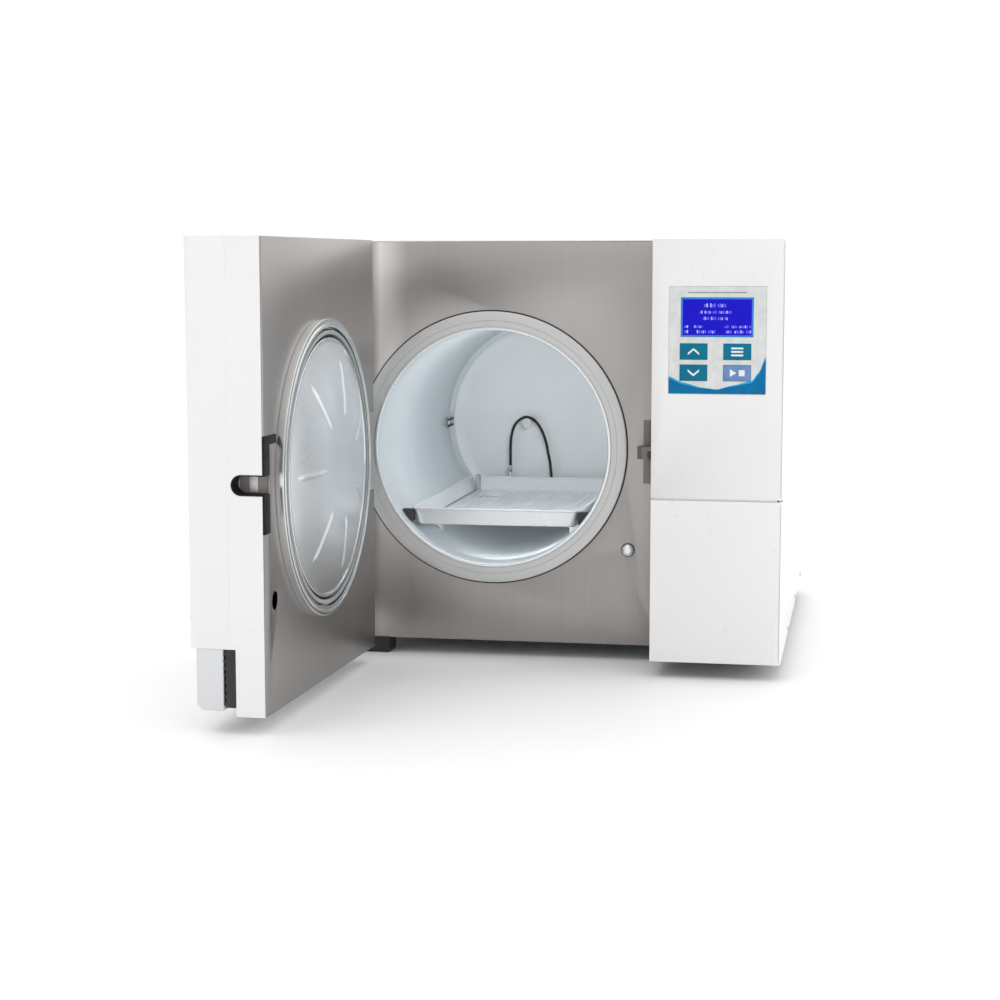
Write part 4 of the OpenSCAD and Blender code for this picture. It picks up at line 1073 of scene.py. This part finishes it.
def make_floor():
    """A pale paper sweep, with painted shade that makes it a little darker near the cabinet and painted light
    that whitens it farther out.
    """
    shader = Shader("studio_floor", (0.86, 0.86, 0.86), 0.6)
    distance = shader.tree.nodes.new("ShaderNodeVectorMath")
    distance.operation = "LENGTH"
    shader.tree.links.new(shader.place, distance.inputs[0])
    far = shader.tree.nodes.new("ShaderNodeMapRange")
    far.inputs["From Min"].default_value = 0.5
    far.inputs["From Max"].default_value = 3.0
    shader.tree.links.new(distance.outputs["Value"], far.inputs["Value"])
    paper = shader.ramp(shader.noise(3), [(0.3, 0.98), (0.7, 1.0)])
    # Painted shade and light: darker within half a metre of the cabinet, whitening out to three metres so the
    # far floor meets the white backdrop.
    spread = shader.ramp(far.outputs["Result"], [(0.0, 0.86), (1.0, 1.0)])
    shader.join(shader.blend(1.0, spread, paper, "MULTIPLY"), "Base Color")
    mesh = bpy.data.meshes.new("floor")
    half = 12
    z = -0.4 * MM
    corners = [(-half, -half, z), (half, -half, z), (half, half, z), (-half, half, z)]
    mesh.from_pydata(corners, [], [(0, 1, 2, 3)])
    mesh.materials.append(shader.material)
    floor = bpy.data.objects.new("floor", mesh)
    bpy.context.scene.collection.objects.link(floor)


def area_light(name, place, target, size, power, spread=180):
    """A soft box that lights surfaces but isn't mirrored in the steel."""
    light = bpy.data.lights.new(name, "AREA")
    light.shape = "RECTANGLE"
    light.size, light.size_y = size
    light.energy = power
    light.spread = math.radians(spread)
    lamp = bpy.data.objects.new(name, light)
    bpy.context.scene.collection.objects.link(lamp)
    lamp.location = place
    lamp.rotation_euler = (Vector(target) - Vector(place)).to_track_quat("-Z", "Y").to_euler()
    lamp.visible_glossy = False
    lamp.visible_camera = False


def map_range(tree, value, low, high, to_low, to_high):
    """A node that carries a value from one range to another."""
    node = tree.nodes.new("ShaderNodeMapRange")
    node.inputs["From Min"].default_value = low
    node.inputs["From Max"].default_value = high
    node.inputs["To Min"].default_value = to_low
    node.inputs["To Max"].default_value = to_high
    tree.links.new(value, node.inputs["Value"])
    return node.outputs["Result"]


SKY_LEVEL, SKY_RIGHT, SKY_BEHIND, SKY_ABOVE = 0.56, 0.10, 0.54, 0.88


def make_sky(scene):
    """A white studio: brighter above and on the right, and white behind."""
    world = bpy.data.worlds.new("studio")
    world.use_nodes = True
    tree = world.node_tree
    split = tree.nodes.new("ShaderNodeSeparateXYZ")
    tree.links.new(tree.nodes.new("ShaderNodeTexCoord").outputs["Generated"], split.inputs[0])
    level = None
    for axis, low, high, to_low, to_high in (("X", -1, 1, SKY_LEVEL - SKY_RIGHT, SKY_LEVEL + SKY_RIGHT),
                                             ("Y", 0.5, 0.9, 0, SKY_BEHIND), ("Z", 0, 1, 0, SKY_ABOVE)):
        part = map_range(tree, split.outputs[axis], low, high, to_low, to_high)
        if level is None:
            level = part
            continue
        total = tree.nodes.new("ShaderNodeMath")
        tree.links.new(level, total.inputs[0])
        tree.links.new(part, total.inputs[1])
        level = total.outputs[0]
    tree.links.new(level, tree.nodes["Background"].inputs["Strength"])
    tree.nodes["Background"].inputs["Color"].default_value = (1, 1, 1, 1)
    scene.world = world


def make_light():
    """Two soft boxes outside, and two small fills that reach into the chamber."""
    scene = bpy.context.scene
    make_sky(scene)
    area_light("key", (-1.0, -1.5, 2.6), (0, -0.1, 0.2), (1.6, 1.2), 9)
    area_light("side", (3.0, 0.3, 1.2), (0.2, 0, 0.2), (2.0, 2.0), 20)
    area_light("chamber_fill", (AXIS_X + 0.08, -0.19, AXIS_Z + 0.055), (AXIS_X - 0.08, 0.08, AXIS_Z - 0.02),
               (0.10, 0.05), 0.54)
    area_light("tray_fill", (AXIS_X + 0.02, -0.20, 0.115), (AXIS_X, 0.1, 0.10), (0.08, 0.02), 0.045)
    scene.view_settings.view_transform = "Standard"
    scene.view_settings.look = "None"


make_floor()
make_light()
